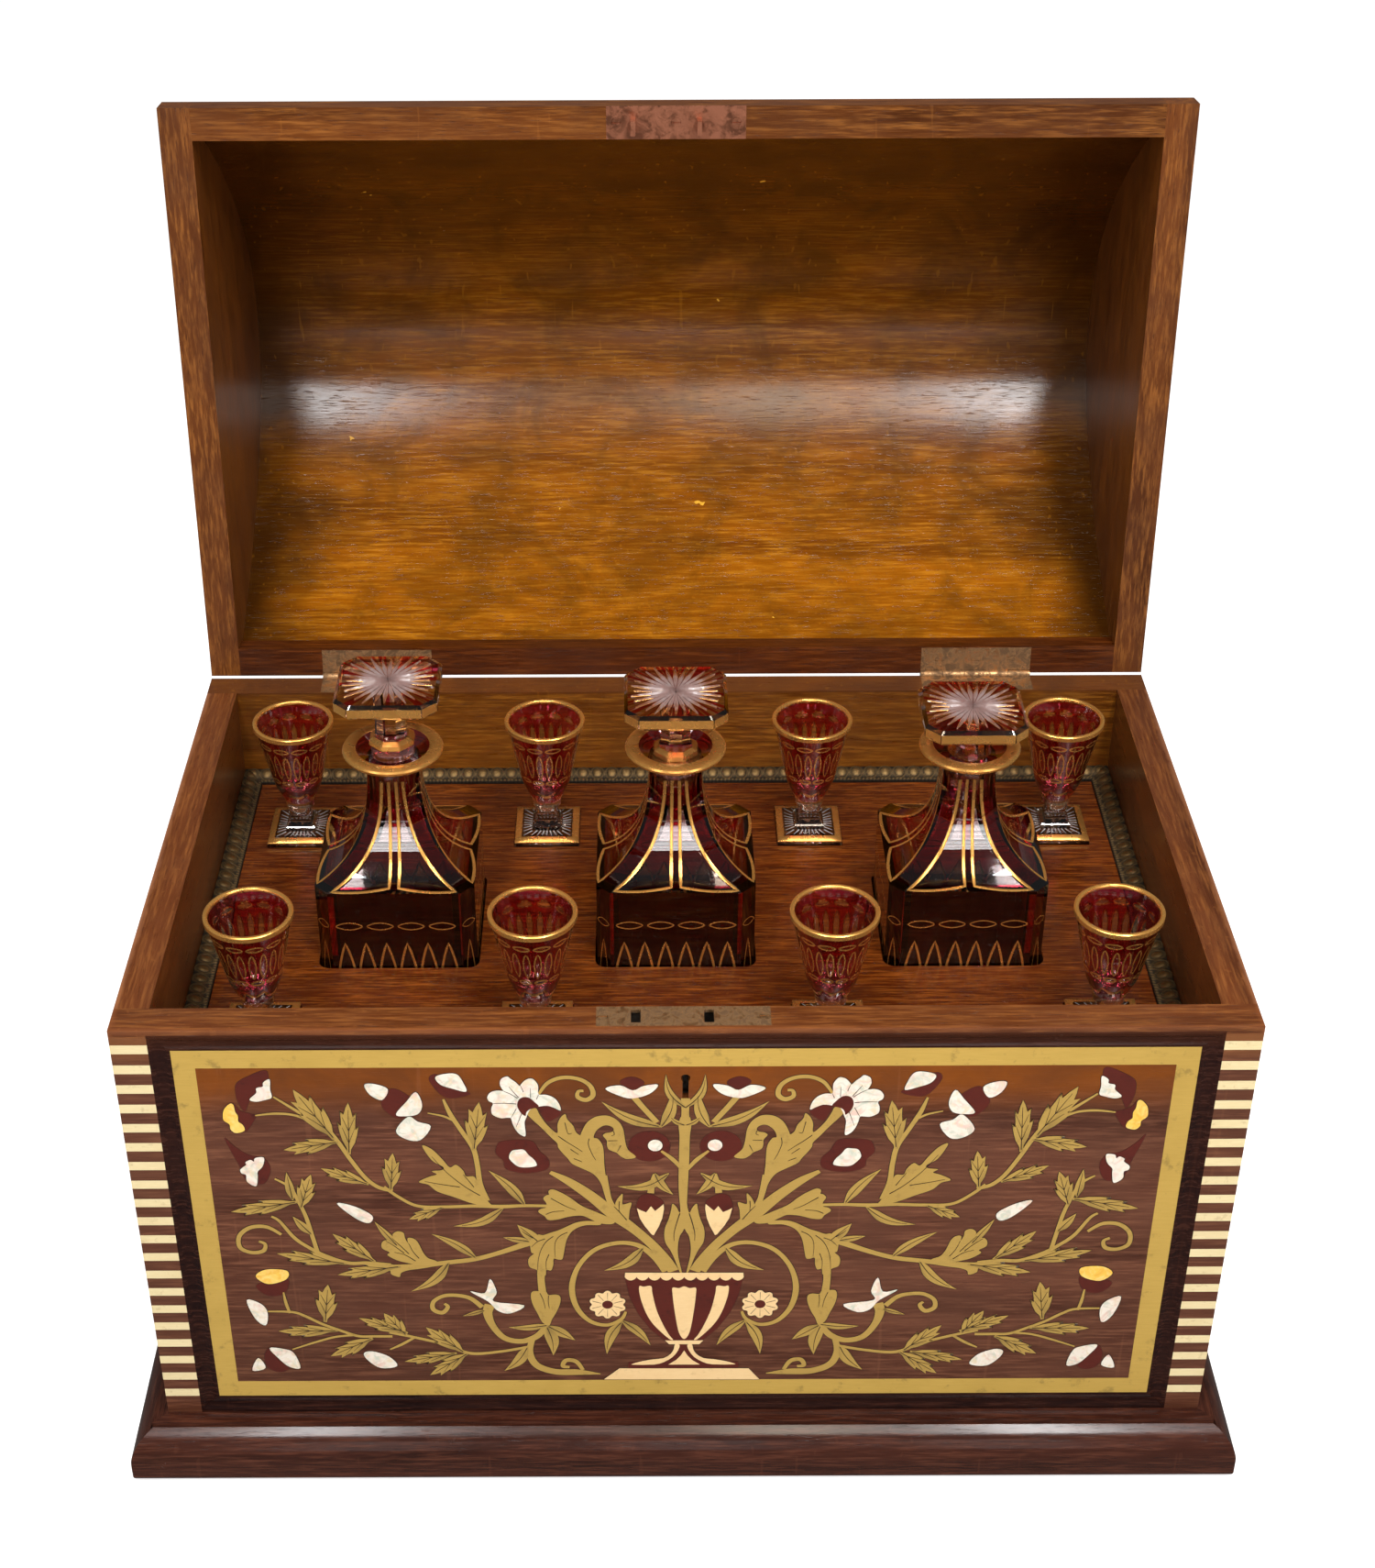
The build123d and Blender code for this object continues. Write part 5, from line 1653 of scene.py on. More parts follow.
    def gild(self, body: str) -> None:
        """Lays the gold: the rim, the lenses, the ovals and the foot's border.

        Args:
            body: the body that it rides on.
        """
        shell, on_bowl = Shell(f"gilt_lines_{self.number}"), self.on_bowl()
        t = bearings(12)
        across, around = np.cos(t), 2 * math.pi * self.rim
        oval = np.stack([2.15 * np.sin(t) * (1 - 0.3 * across ** 2),
                         8.0 * across + self.oval_line], -1)
        for k in range(self.ovals):
            path = oval + [around * (k + 0.5) / self.ovals, 0.0]
            shell.bead(path, 0.8, 0.1, on_bowl, True)
        for level, tall in ((self.upper_line, 1.45), (self.lower_line, 1.2)):
            lens = np.stack([4.6 * across, tall * np.sin(t) * (1 - 0.3 * across ** 2) + level], -1)
            for k in range(self.lenses):
                path = lens + [around * (k + 0.5) / self.lenses, 0.0]
                shell.bead(path, 0.9, 0.1, on_bowl, True)
        shell.piece("gold", body, "cordial_glass", weld=0.0005)
        rim, top, wall = self.rim, self.height, self.wall
        ring = [(rim - 0.35, top - 2.5), (rim + 0.1, top - 2.2), (rim + 0.14, top),
                (rim - 0.25, top + 0.42), (rim - wall / 2, top + 0.58),
                (rim - wall + 0.25, top + 0.42), (rim - wall - 0.12, top),
                (rim - wall - 0.2, top - 1.4), (rim - wall + 0.1, top - 1.4),
                (rim - wall + 0.3, top), (rim - wall / 2, top + 0.3), (rim - 0.3, top)]
        grid = revolved(ring, (self.x, self.y, self.base), 96)
        gilt = Shell(f"gilt_rim_{self.number}").grid(grid, rows=True, cols=True)
        edge = ((0.03, 3.2), (0.03, 3.7), (-0.3, 4.1), (-3.7, 5.0), (-3.7, 4.9), (-0.5, 3.8))
        border = np.stack([self.square(self.foot / 2 + out, z, 4 * 8) for out, z in edge])
        gilt.grid(border, rows=True, cols=True)
        gilt.piece("gold", body, "cordial_glass", crease=40.0)


# The inlay.

@dataclass
class PhotoCamera:
    """The camera that took the photograph: where it stood and how pixels map to rays."""

    width: int = 1500
    height: int = 1710
    focal: float = 2578.0
    middle: tuple[float, float] = (700.0, 855.0)
    place: tuple[float, float, float] = (-18.7, -985.4, 946.7)
    tilt: tuple[float, float, float] = (-33.0, 0.26, 0.05)
    sensor: float = 36.0

    def axes(self) -> Array:
        """The camera's own ways in the frame: turns about X, then Y, then Z.

        Returns:
            A matrix whose columns are right, forward and up.
        """
        turns = [math.radians(v) for v in self.tilt]
        (cx, cy, cz), (sx, sy, sz) = map(math.cos, turns), map(math.sin, turns)
        turn_x = np.array([[1, 0, 0], [0, cx, -sx], [0, sx, cx]])
        turn_y = np.array([[cy, 0, sy], [0, 1, 0], [-sy, 0, cy]])
        turn_z = np.array([[cz, -sz, 0], [sz, cz, 0], [0, 0, 1]])
        return turn_z @ turn_x @ turn_y

    def on_front(self, pixels: Array, y: float) -> Array:
        """Where pixels' rays meet the upright plane at y.

        Args:
            pixels: (u, v) pairs in the photograph.
            y: the plane.

        Returns:
            (x, z) pairs in millimetres.
        """
        u, v = pixels[..., 0], pixels[..., 1]
        right, up = (u - self.middle[0]) / self.focal, (self.middle[1] - v) / self.focal
        ray = np.stack([right, 1 + 0 * u, up], -1)
        way = ray @ self.axes().T
        reach = (y - self.place[1]) / way[..., 1]
        return np.stack([self.place[k] + reach * way[..., k] for k in (0, 2)], -1)

    def build(self) -> None:
        """Sets up the scene's camera: focal length, place, direction and the shift of the image."""
        data = bpy.data.cameras.new("photograph_camera")
        data.sensor_fit = "VERTICAL"
        data.sensor_height = self.sensor
        data.lens = self.focal / self.height * self.sensor
        data.shift_x = (self.width / 2 - self.middle[0]) / self.height
        data.shift_y = (self.middle[1] - self.height / 2) / self.height
        data.clip_start = 0.05
        made = bpy.data.objects.new("photograph_camera", data)
        axes = self.axes()
        matrix = Matrix.Identity(4)
        for row in range(3):
            matrix[row][0], matrix[row][1] = axes[row, 0], axes[row, 2]
            matrix[row][2], matrix[row][3] = -axes[row, 1], self.place[row] * MM
        made.matrix_world = matrix
        bpy.context.scene.collection.objects.link(made)
        bpy.context.scene.camera = made


class Window(Enum):
    """Zoomed windows of the photograph, where the inlay's points were picked: left, top, zoom."""

    MIDDLE = (420.0, 1080.0, 3.267)
    LEFT = (100.0, 1080.0, 2.8)
    SCROLL = (560.0, 1195.0, 11.2)
    BRANCH = (560.0, 1290.0, 11.2)
    FAN = (410.0, 1330.0, 10.453)
    DAISY = (515.0, 1160.0, 13.067)
    CORNER = (210.0, 1160.0, 8.253)
    CROCUS = (640.0, 1300.0, 13.067)
    URN = (670.0, 1370.0, 11.042)

    def pixels(self, points: Numbers) -> Array:
        """Turns the window's own points, x and y by turns, into the photograph's pixels."""
        left, top, zoom = self.value
        return np.reshape(points, (-1, 2)) / zoom + [left, top]


class Leaf(Enum):
    """One side of each leaf from base to tip: (share of its length, share of its half-width)."""

    PLAIN = ((0.0, 0.14), (0.15, 0.58), (0.34, 1.0), (0.6, 0.88), (0.82, 0.44), (1.0, 0.0))
    OAK = ((0.0, 0.16), (0.12, 0.2), (0.28, 0.6), (0.44, 0.82), (0.62, 1.0), (0.56, 0.66),
           (0.7, 0.68), (0.84, 0.76), (0.78, 0.42), (0.9, 0.24), (1.0, 0.0))


class Inlay:
    """Collects flat shapes let into the front, each mirrored about the middle, by material."""

    # The front's plane, a pixel on its middle line and its distance, which sets widths in pixels.
    FACE = -156.0
    MIDDLE_PIXEL = (741.5, 1350.0)
    REACH = 1130.0
    # How high dark lines and the other shapes lie over the front, and the step to the next one.
    LINE_LIFT, SHAPE_LIFT, HAIR = 0.02, 0.12, 0.0003

    def __init__(self, camera: PhotoCamera) -> None:
        """Starts with the photograph's camera, which places the middle line and sets the scale."""
        self.camera, self.face = camera, self.FACE
        self.shift = float(camera.on_front(np.array(self.MIDDLE_PIXEL), self.face)[0])
        self.scale = camera.focal / self.REACH
        self.shells: dict[str, Shell] = {}
        self.order = 0

    def at(self, window: Window, points: Numbers) -> Array:
        """Window points to (x, z) on the front, measured from its middle line."""
        return self.camera.on_front(window.pixels(points), self.face) - [self.shift, 0.0]

    def lift(self, kind: str, floor: float) -> float:
        """The next shape's height over the front: dark lines lowest, each a hair over the last.

        Args:
            kind: the material's name.
            floor: how much higher than usual it lies.

        Returns:
            The height in millimetres.
        """
        self.order += 1
        base = self.LINE_LIFT if kind == "mastic" else self.SHAPE_LIFT
        return base + floor + self.HAIR * self.order

    def patch(self, kind: str, grid: Array, floor: float = 0.0, mirror: bool = True) -> None:
        """Adds one flat grid of (x, z) points and its mirror image.

        Args:
            kind: the material's name.
            grid: rows by columns by 2.
            floor: how much higher than usual it lies, in millimetres.
            mirror: whether its mirror image is added.
        """
        shell = self.shells.setdefault(kind, Shell("inlay_" + kind))
        rise = np.linspace(0.0, 0.004, len(grid))[:, None]
        lift = self.lift(kind, floor) + rise + 0 * grid[..., 0]
        across, along = grid[:, 1:] - grid[:, :-1], grid[1:] - grid[:-1]
        area = (across[:-1, :, 0] * along[:, :-1, 1] - across[:-1, :, 1] * along[:, :-1, 0]).sum()
        for sign in (1, -1) if mirror else (1,):
            depth = self.face - lift + 0.0001 * sign
            flat = np.stack([grid[..., 0] * sign, depth, grid[..., 1]], -1)
            shell.grid(flat, flip=bool(area * sign < 0))

    def strand(self, kind: str, path: Array, width: Array | float, floor: float = 0.0,
               mirror: bool = True) -> None:
        """Adds a flat band along a path: each point moved half its width to either side.

        Args:
            kind: the material's name.
            path: (x, z) points.
            width: the width, one value or one at each point, in millimetres.
            floor: how much higher than usual it lies.
            mirror: whether its mirror image is added.
        """
        step = np.gradient(path, axis=0)
        step /= np.maximum(np.linalg.norm(step, axis=1, keepdims=True), 1e-9)
        side = np.stack([-step[:, 1], step[:, 0]], -1) * np.reshape(width, (-1, 1)) / 2
        self.patch(kind, np.stack([path + side, path - side], 1), floor, mirror)

    def fill(self, kind: str, rim: Array, burnt: Array | float = 0.0, edge: float = 0.7,
             mirror: bool = True) -> None:
        """Adds a flat shape with a dark line round it.

        Args:
            kind: the material's name.
            rim: its outline's (x, z) points.
            burnt: how much scorching shades each point.
            edge: the dark line's width, of which half shows.
            mirror: whether its mirror image is added.
        """
        if edge:
            self.strand("mastic", np.vstack([rim, rim[:2]]), edge, 0.0, mirror)
        shell = self.shells.setdefault(kind, Shell("inlay_" + kind))
        lift = self.lift(kind, 0.0)
        after = np.roll(rim, -1, 0)
        area = (rim[:, 0] * after[:, 1] - rim[:, 1] * after[:, 0]).sum()
        burnt = np.broadcast_to(burnt, len(rim))
        for sign in (1, -1) if mirror else (1,):
            depth = np.full(len(rim), self.face - lift + 0.0001 * sign)
            flat = np.column_stack([rim[:, 0] * sign, depth, rim[:, 1]])
            way = 1 if area * sign > 0 else -1
            shell.polygon(flat[::way], burnt[::way])

    def stem(self, window: Window, points: Numbers, mirror: bool = True) -> None:
        """Adds a stem with its dark outline.

        Args:
            window: the window that the points are given in.
            points: x, y and the width by turns, in the window's pixels.
            mirror: whether its mirror image is added.
        """
        table = np.reshape(points, (-1, 3))
        width = table[:, 2:] / window.value[2] / self.scale
        full = flowing(np.hstack([self.at(window, table[:, :2]), width]), 10 * len(table))
        self.strand("mastic", full[:, :2], full[:, 2] + 0.7, 0.0, mirror)
        self.strand("leaf", full[:, :2], full[:, 2], 0.0, mirror)

    def vein(self, window: Window, points: Numbers, wide: float = 0.4) -> None:
        """Engraves a tapering line.

        Args:
            window: the window that the points are given in.
            points: x and y by turns.
            wide: its width where it starts, in millimetres.
        """
        line = self.at(window, points)
        path = flowing(line, 5 * len(line))
        self.strand("mastic", path, np.linspace(wide, wide * 0.4, len(path)), 0.2)

    def leaf(self, window: Window, ends: Numbers, wide: float, shape: Leaf = Leaf.OAK,
             bend: float = 0.0) -> None:
        """Adds a leaf with its engraved rib and, if it is lobed, its side veins.

        Args:
            window: the window that the points are given in.
            ends: x and y where it leaves the stem, then x and y of its tip.
            wide: its widest, in the window's pixels.
            shape: the kind of leaf.
            bend: how far its rib bows sideways, as a share of its length.
        """
        base, tip = self.at(window, ends)
        run = tip - base
        length = float(np.hypot(*run))
        side = np.array([-run[1], run[0]]) / length
        half = wide / window.value[2] / self.scale / 2
        edge = np.array(shape.value) if shape is Leaf.OAK else flowing(shape.value, 14)
        s = np.concatenate([edge[:, 0], edge[-2::-1, 0] - 0.07 * np.sin(math.pi * edge[-2::-1, 0])])
        w = np.concatenate([edge[:, 1], -0.9 * edge[-2::-1, 1]])

        def place(share: Array, across: Array) -> Array:
            """Puts shares of the length and of the half-width on the bowed leaf."""
            bow = bend * length * np.sin(math.pi * share)
            return base + share[:, None] * run + (half * across + bow)[:, None] * side

        self.fill("leaf", place(s, w), np.clip(1.0 - s * 1.8, 0.0, 1.0) * (w > 0))
        rib = np.linspace(0.04, 0.86, 10)
        self.strand("mastic", place(rib, 0 * rib), np.linspace(0.42, 0.18, 10), 0.2)
        if shape is Leaf.OAK:
            t = np.linspace(0.0, 1.0, 4)
            for start, reach in ((0.22, 0.52), (0.46, 0.72)):
                for way in (-0.56, 0.56):
                    self.strand("mastic", place(start + t * (reach - start), t * way),
                                np.linspace(0.3, 0.12, 4), 0.2)

    def shape(self, kind: str, window: Window, points: Numbers, edge: float = 0.7,
              mirror: bool = True, soft: int = 4) -> None:
        """Adds a shape whose outline is given in a window.

        Args:
            kind: the material's name.
            window: the window that the points are given in.
            points: its outline, x and y by turns.
            edge: the dark line's width.
            mirror: whether its mirror image is added.
            soft: how many points smooth each step of the outline; none leaves it straight.
        """
        rim = self.at(window, points)
        rim = flowing(rim, soft * len(rim), closed=True) if soft else rim
        self.fill(kind, rim, 0.0, edge, mirror)

    def flower(self, window: Window, middle: Array, radii: tuple[float, float],
               petals: int) -> None:
        """Adds a round flower: petals whose rim is R (1 - 0.16 |cos|^3), and a dark red eye.

        Args:
            window: the window that the points are given in.
            middle: its middle.
            radii: half its width and half its height, in the window's pixels.
            petals: how many petals.
        """
        a = bearings(72)
        wave = 1 - 0.16 * np.abs(np.cos(a * petals / 2)) ** 3
        ring = np.stack([np.cos(a), np.sin(a)], -1)
        self.shape("cream", window, middle + ring * wave[:, None] * radii, soft=0)
        for k in range(petals):
            way = math.pi * (2 * k + 1) / petals
            spoke = np.array([math.cos(way), math.sin(way)]) * radii
            self.vein(window, [middle + share * spoke for share in (0.86, 0.6, 0.35)], 0.25)
        eye = self.at(window, middle + ring[::6] * radii * 0.3)
        self.fill("red_wood", eye, edge=0.0)

    def lay(self) -> None:
        """Turns each collected material into one piece whose lower side is sunk in the panel."""
        slots = {"leaf": "olive_gold", "mastic": "rosewood", "red_wood": "rosewood",
                 "pearl": "bone", "amber": "bone", "cream": "bone"}
        for kind, shell in self.shells.items():
            made = shell.piece(kind, "case", slots[kind], crease=0.0, weld=0.0)
            solid = made.modifiers.new("slip", "SOLIDIFY")
            solid.thickness, solid.offset = 0.4 * MM, -1.0


class Marquetry:
    """The front's picture: an urn, stems, leaves and flowers, drawn on the left and mirrored."""

    def __init__(self, inlay: Inlay) -> None:
        """Draws on one inlay."""
        self.inlay = inlay

    def build(self) -> None:
        """Draws every part and lays it."""
        self.shades()
        self.middle_stems()
        self.middle_leaves()
        self.acanthus()
        self.left_stems()
        self.left_leaves()
        self.flowers()
        self.urn()
        self.inlay.lay()

    def middle_stems(self) -> None:
        """Draws the stems that show in the middle window."""
        w, stem = Window.MIDDLE, self.inlay.stem
        stem(w, [
            1048, 850, 12, 1047, 780, 22, 1046, 700, 32, 1049, 600, 36, 1051, 520, 36,
            1052, 480, 44, 1053, 452, 34], mirror=False)
        stem(w, [1053, 465, 30, 1053, 430, 26, 1054, 385, 32], mirror=False)
        stem(w, [1044, 640, 10, 1012, 605, 16, 968, 572, 9])
        stem(w, [
            1012, 1000, 40, 985, 960, 38, 935, 905, 36, 870, 850, 38, 800, 800, 46, 720, 735, 42,
            640, 682, 32, 572, 648, 15])
        stem(w, [800, 795, 20, 783, 750, 20, 770, 700, 24, 762, 660, 26])
        stem(w, [
            530, 370, 10, 562, 330, 14, 612, 311, 15, 670, 315, 15, 712, 338, 16, 724, 372, 18,
            700, 390, 18, 670, 380, 16, 672, 360, 12, 690, 358, 10])
        stem(w, [868, 378, 22, 905, 420, 20, 952, 470, 20])
        stem(w, [930, 722, 24, 935, 690, 20, 945, 655, 14])
        stem(w, [
            520, 890, 34, 480, 905, 26, 390, 935, 20, 300, 958, 20, 200, 970, 20, 100, 982, 22,
            0, 985, 20])
        stem(w, [541, 985, 30, 540, 1030, 26, 545, 1075, 28])
        stem(w, [
            560, 1195, 22, 525, 1232, 26, 470, 1250, 24, 410, 1238, 24, 368, 1195, 26,
            350, 1150, 34, 358, 1120, 40])
        stem(w, [
            330, 1128, 20, 290, 1098, 18, 245, 1087, 16, 195, 1088, 16, 158, 1108, 16,
            156, 1136, 18, 188, 1148, 18, 208, 1128, 15, 196, 1116, 10])
        stem(w, [
            510, 1240, 20, 500, 1290, 26, 525, 1335, 28, 590, 1358, 28, 670, 1360, 28,
            752, 1366, 4])
        stem(w, [690, 1352, 14, 665, 1322, 18, 630, 1318, 18, 618, 1338, 16, 642, 1342, 12])
        stem(w, [
            505, 1268, 12, 400, 1286, 12, 290, 1293, 14, 200, 1262, 13, 100, 1238, 12, 0, 1218, 12])
        stem(w, [
            985, 1000, 30, 945, 950, 26, 885, 908, 20, 810, 900, 18, 730, 925, 18, 672, 985, 18,
            650, 1060, 22, 668, 1130, 20, 715, 1178, 17, 775, 1192, 15, 825, 1172, 14,
            842, 1145, 10])
        stem(w, [
            570, 768, 12, 480, 767, 13, 400, 770, 16, 300, 768, 14, 200, 771, 13, 100, 768, 12,
            30, 735, 12, -20, 700, 12])
        stem(w, [
            345, 750, 26, 322, 690, 20, 312, 620, 18, 296, 560, 18, 255, 500, 16, 215, 440, 16,
            190, 388, 8])
        stem(w, [222, 462, 8, 190, 448, 8, 135, 437, 4])

    def middle_leaves(self) -> None:
        """Draws the leaves that show in the middle window."""
        w, leaf, plain = Window.MIDDLE, self.inlay.leaf, Leaf.PLAIN
        for *ends, wide, bend in (
                (965, 488, 1008, 358, 44, -0.1), (968, 486, 755, 397, 42, 0.08),
                (995, 652, 812, 698, 40, 0.16), (945, 652, 1010, 727, 36, -0.1),
                (530, 895, 455, 835, 44, 0.0), (500, 895, 405, 880, 28, 0.0),
                (310, 955, 150, 868, 36, -0.06), (212, 968, 78, 1072, 42, 0.1),
                (482, 765, 352, 642, 40, -0.06), (405, 775, 228, 840, 38, 0.12),
                (563, 1195, 662, 1246, 44, 0.0), (560, 1198, 584, 1300, 50, 0.06),
                (565, 1192, 425, 1200, 30, 0.05), (492, 1270, 410, 1355, 46, 0.08),
                (340, 1140, 262, 1160, 20, 0.0), (905, 915, 765, 998, 44, 0.12),
                (828, 1176, 930, 1264, 38, 0.05), (828, 1180, 775, 1296, 44, -0.1),
                (1052, 480, 998, 448, 20, 0.1), (1058, 420, 984, 300, 30, 0.14)):
            leaf(w, ends, wide, plain, bend)
        for *ends, wide in (
                (300, 570, 318, 398, 88), (190, 772, 70, 815, 56), (280, 1292, 145, 1370, 70),
                (240, 1292, 55, 1322, 62), (268, 1290, 130, 1200, 76), (60, 1228, -20, 1150, 72)):
            leaf(w, ends, wide)

    def acanthus(self) -> None:
        """Draws the broad lobed leaves from outlines given closer up, with their veins."""
        shape, vein = self.inlay.shape, self.inlay.vein
        w = Window.SCROLL
        shape("leaf", w, [
            1085, 1290, 1055, 1180, 1010, 1065, 955, 985, 890, 935, 780, 885, 660, 828, 608, 765,
            545, 700, 490, 630, 478, 578, 400, 505, 280, 385, 180, 295, 105, 215, 125, 165,
            215, 150, 260, 225, 345, 345, 475, 455, 480, 350, 515, 270, 575, 222, 600, 285,
            672, 365, 705, 440, 757, 480, 775, 440, 830, 340, 910, 272, 1010, 242, 1120, 248,
            1225, 310, 1285, 410, 1310, 560, 1345, 660, 1440, 745, 1330, 770, 1250, 735, 1205, 695,
            1110, 655, 1085, 600, 1085, 548, 1055, 510, 1035, 482, 1070, 455, 1130, 445, 1165, 425,
            1160, 390, 1110, 362, 1045, 362, 975, 405, 935, 460, 925, 512, 975, 525, 1030, 600,
            1048, 700, 1055, 850, 1075, 1000, 1110, 1150, 1160, 1290, 1225, 1400, 1150, 1400])
        for line in (
                [490, 490, 600, 565, 700, 625, 785, 680], [640, 650, 740, 715],
                [680, 765, 780, 802], [570, 325, 590, 400, 612, 460, 655, 455],
                [868, 520, 858, 590, 900, 700, 950, 785], [1100, 548, 1215, 545],
                [1255, 605, 1212, 682], [1165, 430, 1175, 470, 1140, 485]):
            vein(w, line)
        w = Window.BRANCH
        shape("leaf", w, [
            1150, 500, 1000, 490, 870, 432, 790, 400, 700, 400, 600, 415, 480, 445, 370, 450,
            325, 405, 248, 352, 280, 315, 345, 298, 345, 245, 308, 190, 345, 150, 378, 142, 372, 98,
            420, 78, 500, 105, 580, 145, 660, 195, 725, 245, 800, 290, 920, 340, 1040, 390,
            1180, 450])
        shape("leaf", w, [
            1000, 478, 880, 464, 780, 468, 690, 490, 600, 530, 500, 575, 400, 606, 310, 636,
            240, 632, 150, 700, 150, 780, 165, 850, 195, 862, 140, 910, 125, 965, 150, 1030,
            235, 1065, 240, 1130, 335, 1130, 348, 1062, 405, 1066, 432, 1000, 438, 925, 495, 935,
            542, 928, 562, 850, 582, 740, 610, 660, 660, 590, 740, 540, 850, 512, 1000, 512])
        shape("leaf", w, [
            300, 1700, 245, 1600, 185, 1490, 158, 1385, 180, 1325, 262, 1322, 345, 1330, 375, 1368,
            455, 1362, 512, 1382, 520, 1450, 480, 1560, 420, 1660, 380, 1740])
        for line in (
                [400, 185, 500, 240, 600, 290, 705, 328], [340, 382, 430, 350, 565, 338],
                [605, 600, 520, 640, 465, 700, 448, 790, 458, 905],
                [430, 650, 340, 720, 280, 820, 248, 940, 242, 1060],
                [378, 870, 345, 960, 348, 1060], [330, 680, 240, 715, 165, 780],
                [185, 672, 110, 630, 55, 590], [270, 1345, 310, 1430, 335, 1530],
                [375, 1375, 372, 1450, 385, 1530]):
            vein(w, line)
        w = Window.FAN
        shape("leaf", w, [
            640, 472, 545, 438, 485, 370, 430, 262, 375, 214, 310, 210, 312, 262, 280, 210,
            262, 150, 192, 132, 138, 170, 160, 235, 90, 232, 38, 240, 10, 280, 25, 330, 105, 372,
            80, 402, 180, 458, 300, 490, 450, 515, 640, 522])
        for line in (
                [440, 438, 370, 360, 320, 265], [325, 388, 220, 290, 130, 210],
                [400, 470, 280, 400, 160, 370], [270, 380, 160, 300, 60, 240]):
            vein(w, line)
        shape("leaf", w, [
            600, 530, 400, 525, 200, 520, 60, 500, -60, 520, -120, 585, 0, 602, 105, 578, 125, 622,
            218, 652, 238, 605, 320, 575, 450, 558])
        w = Window.MIDDLE
        shape("leaf", w, [
            115, 553, 150, 566, 186, 600, 214, 630, 236, 621, 262, 642, 272, 662, 302, 664,
            318, 700, 338, 738, 362, 768, 300, 760, 230, 736, 170, 716, 138, 692, 104, 682,
            140, 664, 168, 655, 150, 644, 186, 640, 190, 628, 150, 605])
        for line in (
                [322, 730, 270, 700, 205, 650, 150, 592], [250, 700, 180, 690, 125, 680],
                [300, 700, 262, 655]):
            vein(w, line)
        w = Window.CROCUS
        shape("leaf", w, [
            1300, -20, 1298, 150, 1262, 290, 1218, 220, 1158, 165, 1138, 250, 1103, 380, 1053, 500,
            1038, 610, 1058, 720, 1128, 830, 1178, 930, 1225, 1050, 1262, 1135, 1290, 1135,
            1243, 930, 1233, 780, 1263, 620, 1326, 480, 1326, -20])
        vein(w, [1262, 300, 1215, 440, 1180, 580, 1180, 690], 0.5)
        shape("leaf", w, [
            520, 410, 400, 270, 340, 180, 372, 95, 445, 25, 440, 155, 465, 175, 570, 150, 545, 260])
        vein(w, [400, 130, 395, 200, 400, 265], 0.45)
        vein(w, [505, 395, 410, 290, 320, 200], 0.45)

    def left_stems(self) -> None:
        """Draws the stems that show in the left window."""
        w, stem = Window.LEFT, self.inlay.stem
        stem(w, [
            905, 612, 12, 860, 600, 13, 820, 570, 13, 775, 515, 13, 740, 465, 14, 700, 420, 13,
            640, 385, 11, 590, 355, 9, 540, 325, 6])
        stem(w, [645, 395, 8, 600, 380, 8, 545, 376, 8, 485, 382, 5])
        stem(w, [
            900, 838, 13, 830, 832, 13, 770, 832, 13, 700, 810, 13, 650, 785, 12, 605, 755, 12,
            560, 705, 10, 535, 690, 8])
        stem(w, [678, 805, 13, 660, 750, 13, 640, 690, 12, 615, 640, 11, 590, 600, 10, 545, 575, 6])
        stem(w, [
            565, 745, 10, 520, 722, 13, 470, 724, 14, 437, 750, 14, 440, 785, 14, 475, 800, 13,
            510, 795, 14, 516, 775, 11, 497, 766, 9])
        stem(w, [
            905, 1056, 10, 850, 1056, 10, 800, 1055, 10, 740, 1036, 10, 690, 1018, 10, 640, 995, 10,
            600, 982, 9, 525, 980, 6])
        stem(w, [592, 985, 8, 580, 955, 10, 572, 922, 5])
        stem(w, [790, 1052, 8, 730, 1058, 8, 670, 1074, 8, 600, 1096, 5])
        stem(w, [975, 1058, 8, 935, 1080, 10, 898, 1096, 5])

    def left_leaves(self) -> None:
        """Draws the leaves that show in the left window."""
        w, leaf = Window.LEFT, self.inlay.leaf
        for *ends, wide in (
                (728, 455, 600, 303, 84), (772, 500, 768, 343, 66), (738, 462, 572, 487, 62),
                (832, 592, 686, 543, 54), (900, 610, 905, 497, 62), (765, 834, 552, 803, 62),
                (852, 828, 722, 743, 60), (930, 842, 738, 868, 62), (625, 665, 655, 562, 62),
                (615, 645, 412, 676, 60), (700, 1012, 708, 898, 74), (738, 1038, 557, 1040, 58),
                (845, 1062, 717, 1116, 62), (952, 1046, 803, 1000, 56)):
            leaf(w, ends, wide)
        for *ends, wide in (
                (920, 780, 850, 706, 24), (658, 745, 600, 690, 30), (600, 640, 580, 555, 28)):
            leaf(w, ends, wide, Leaf.PLAIN)

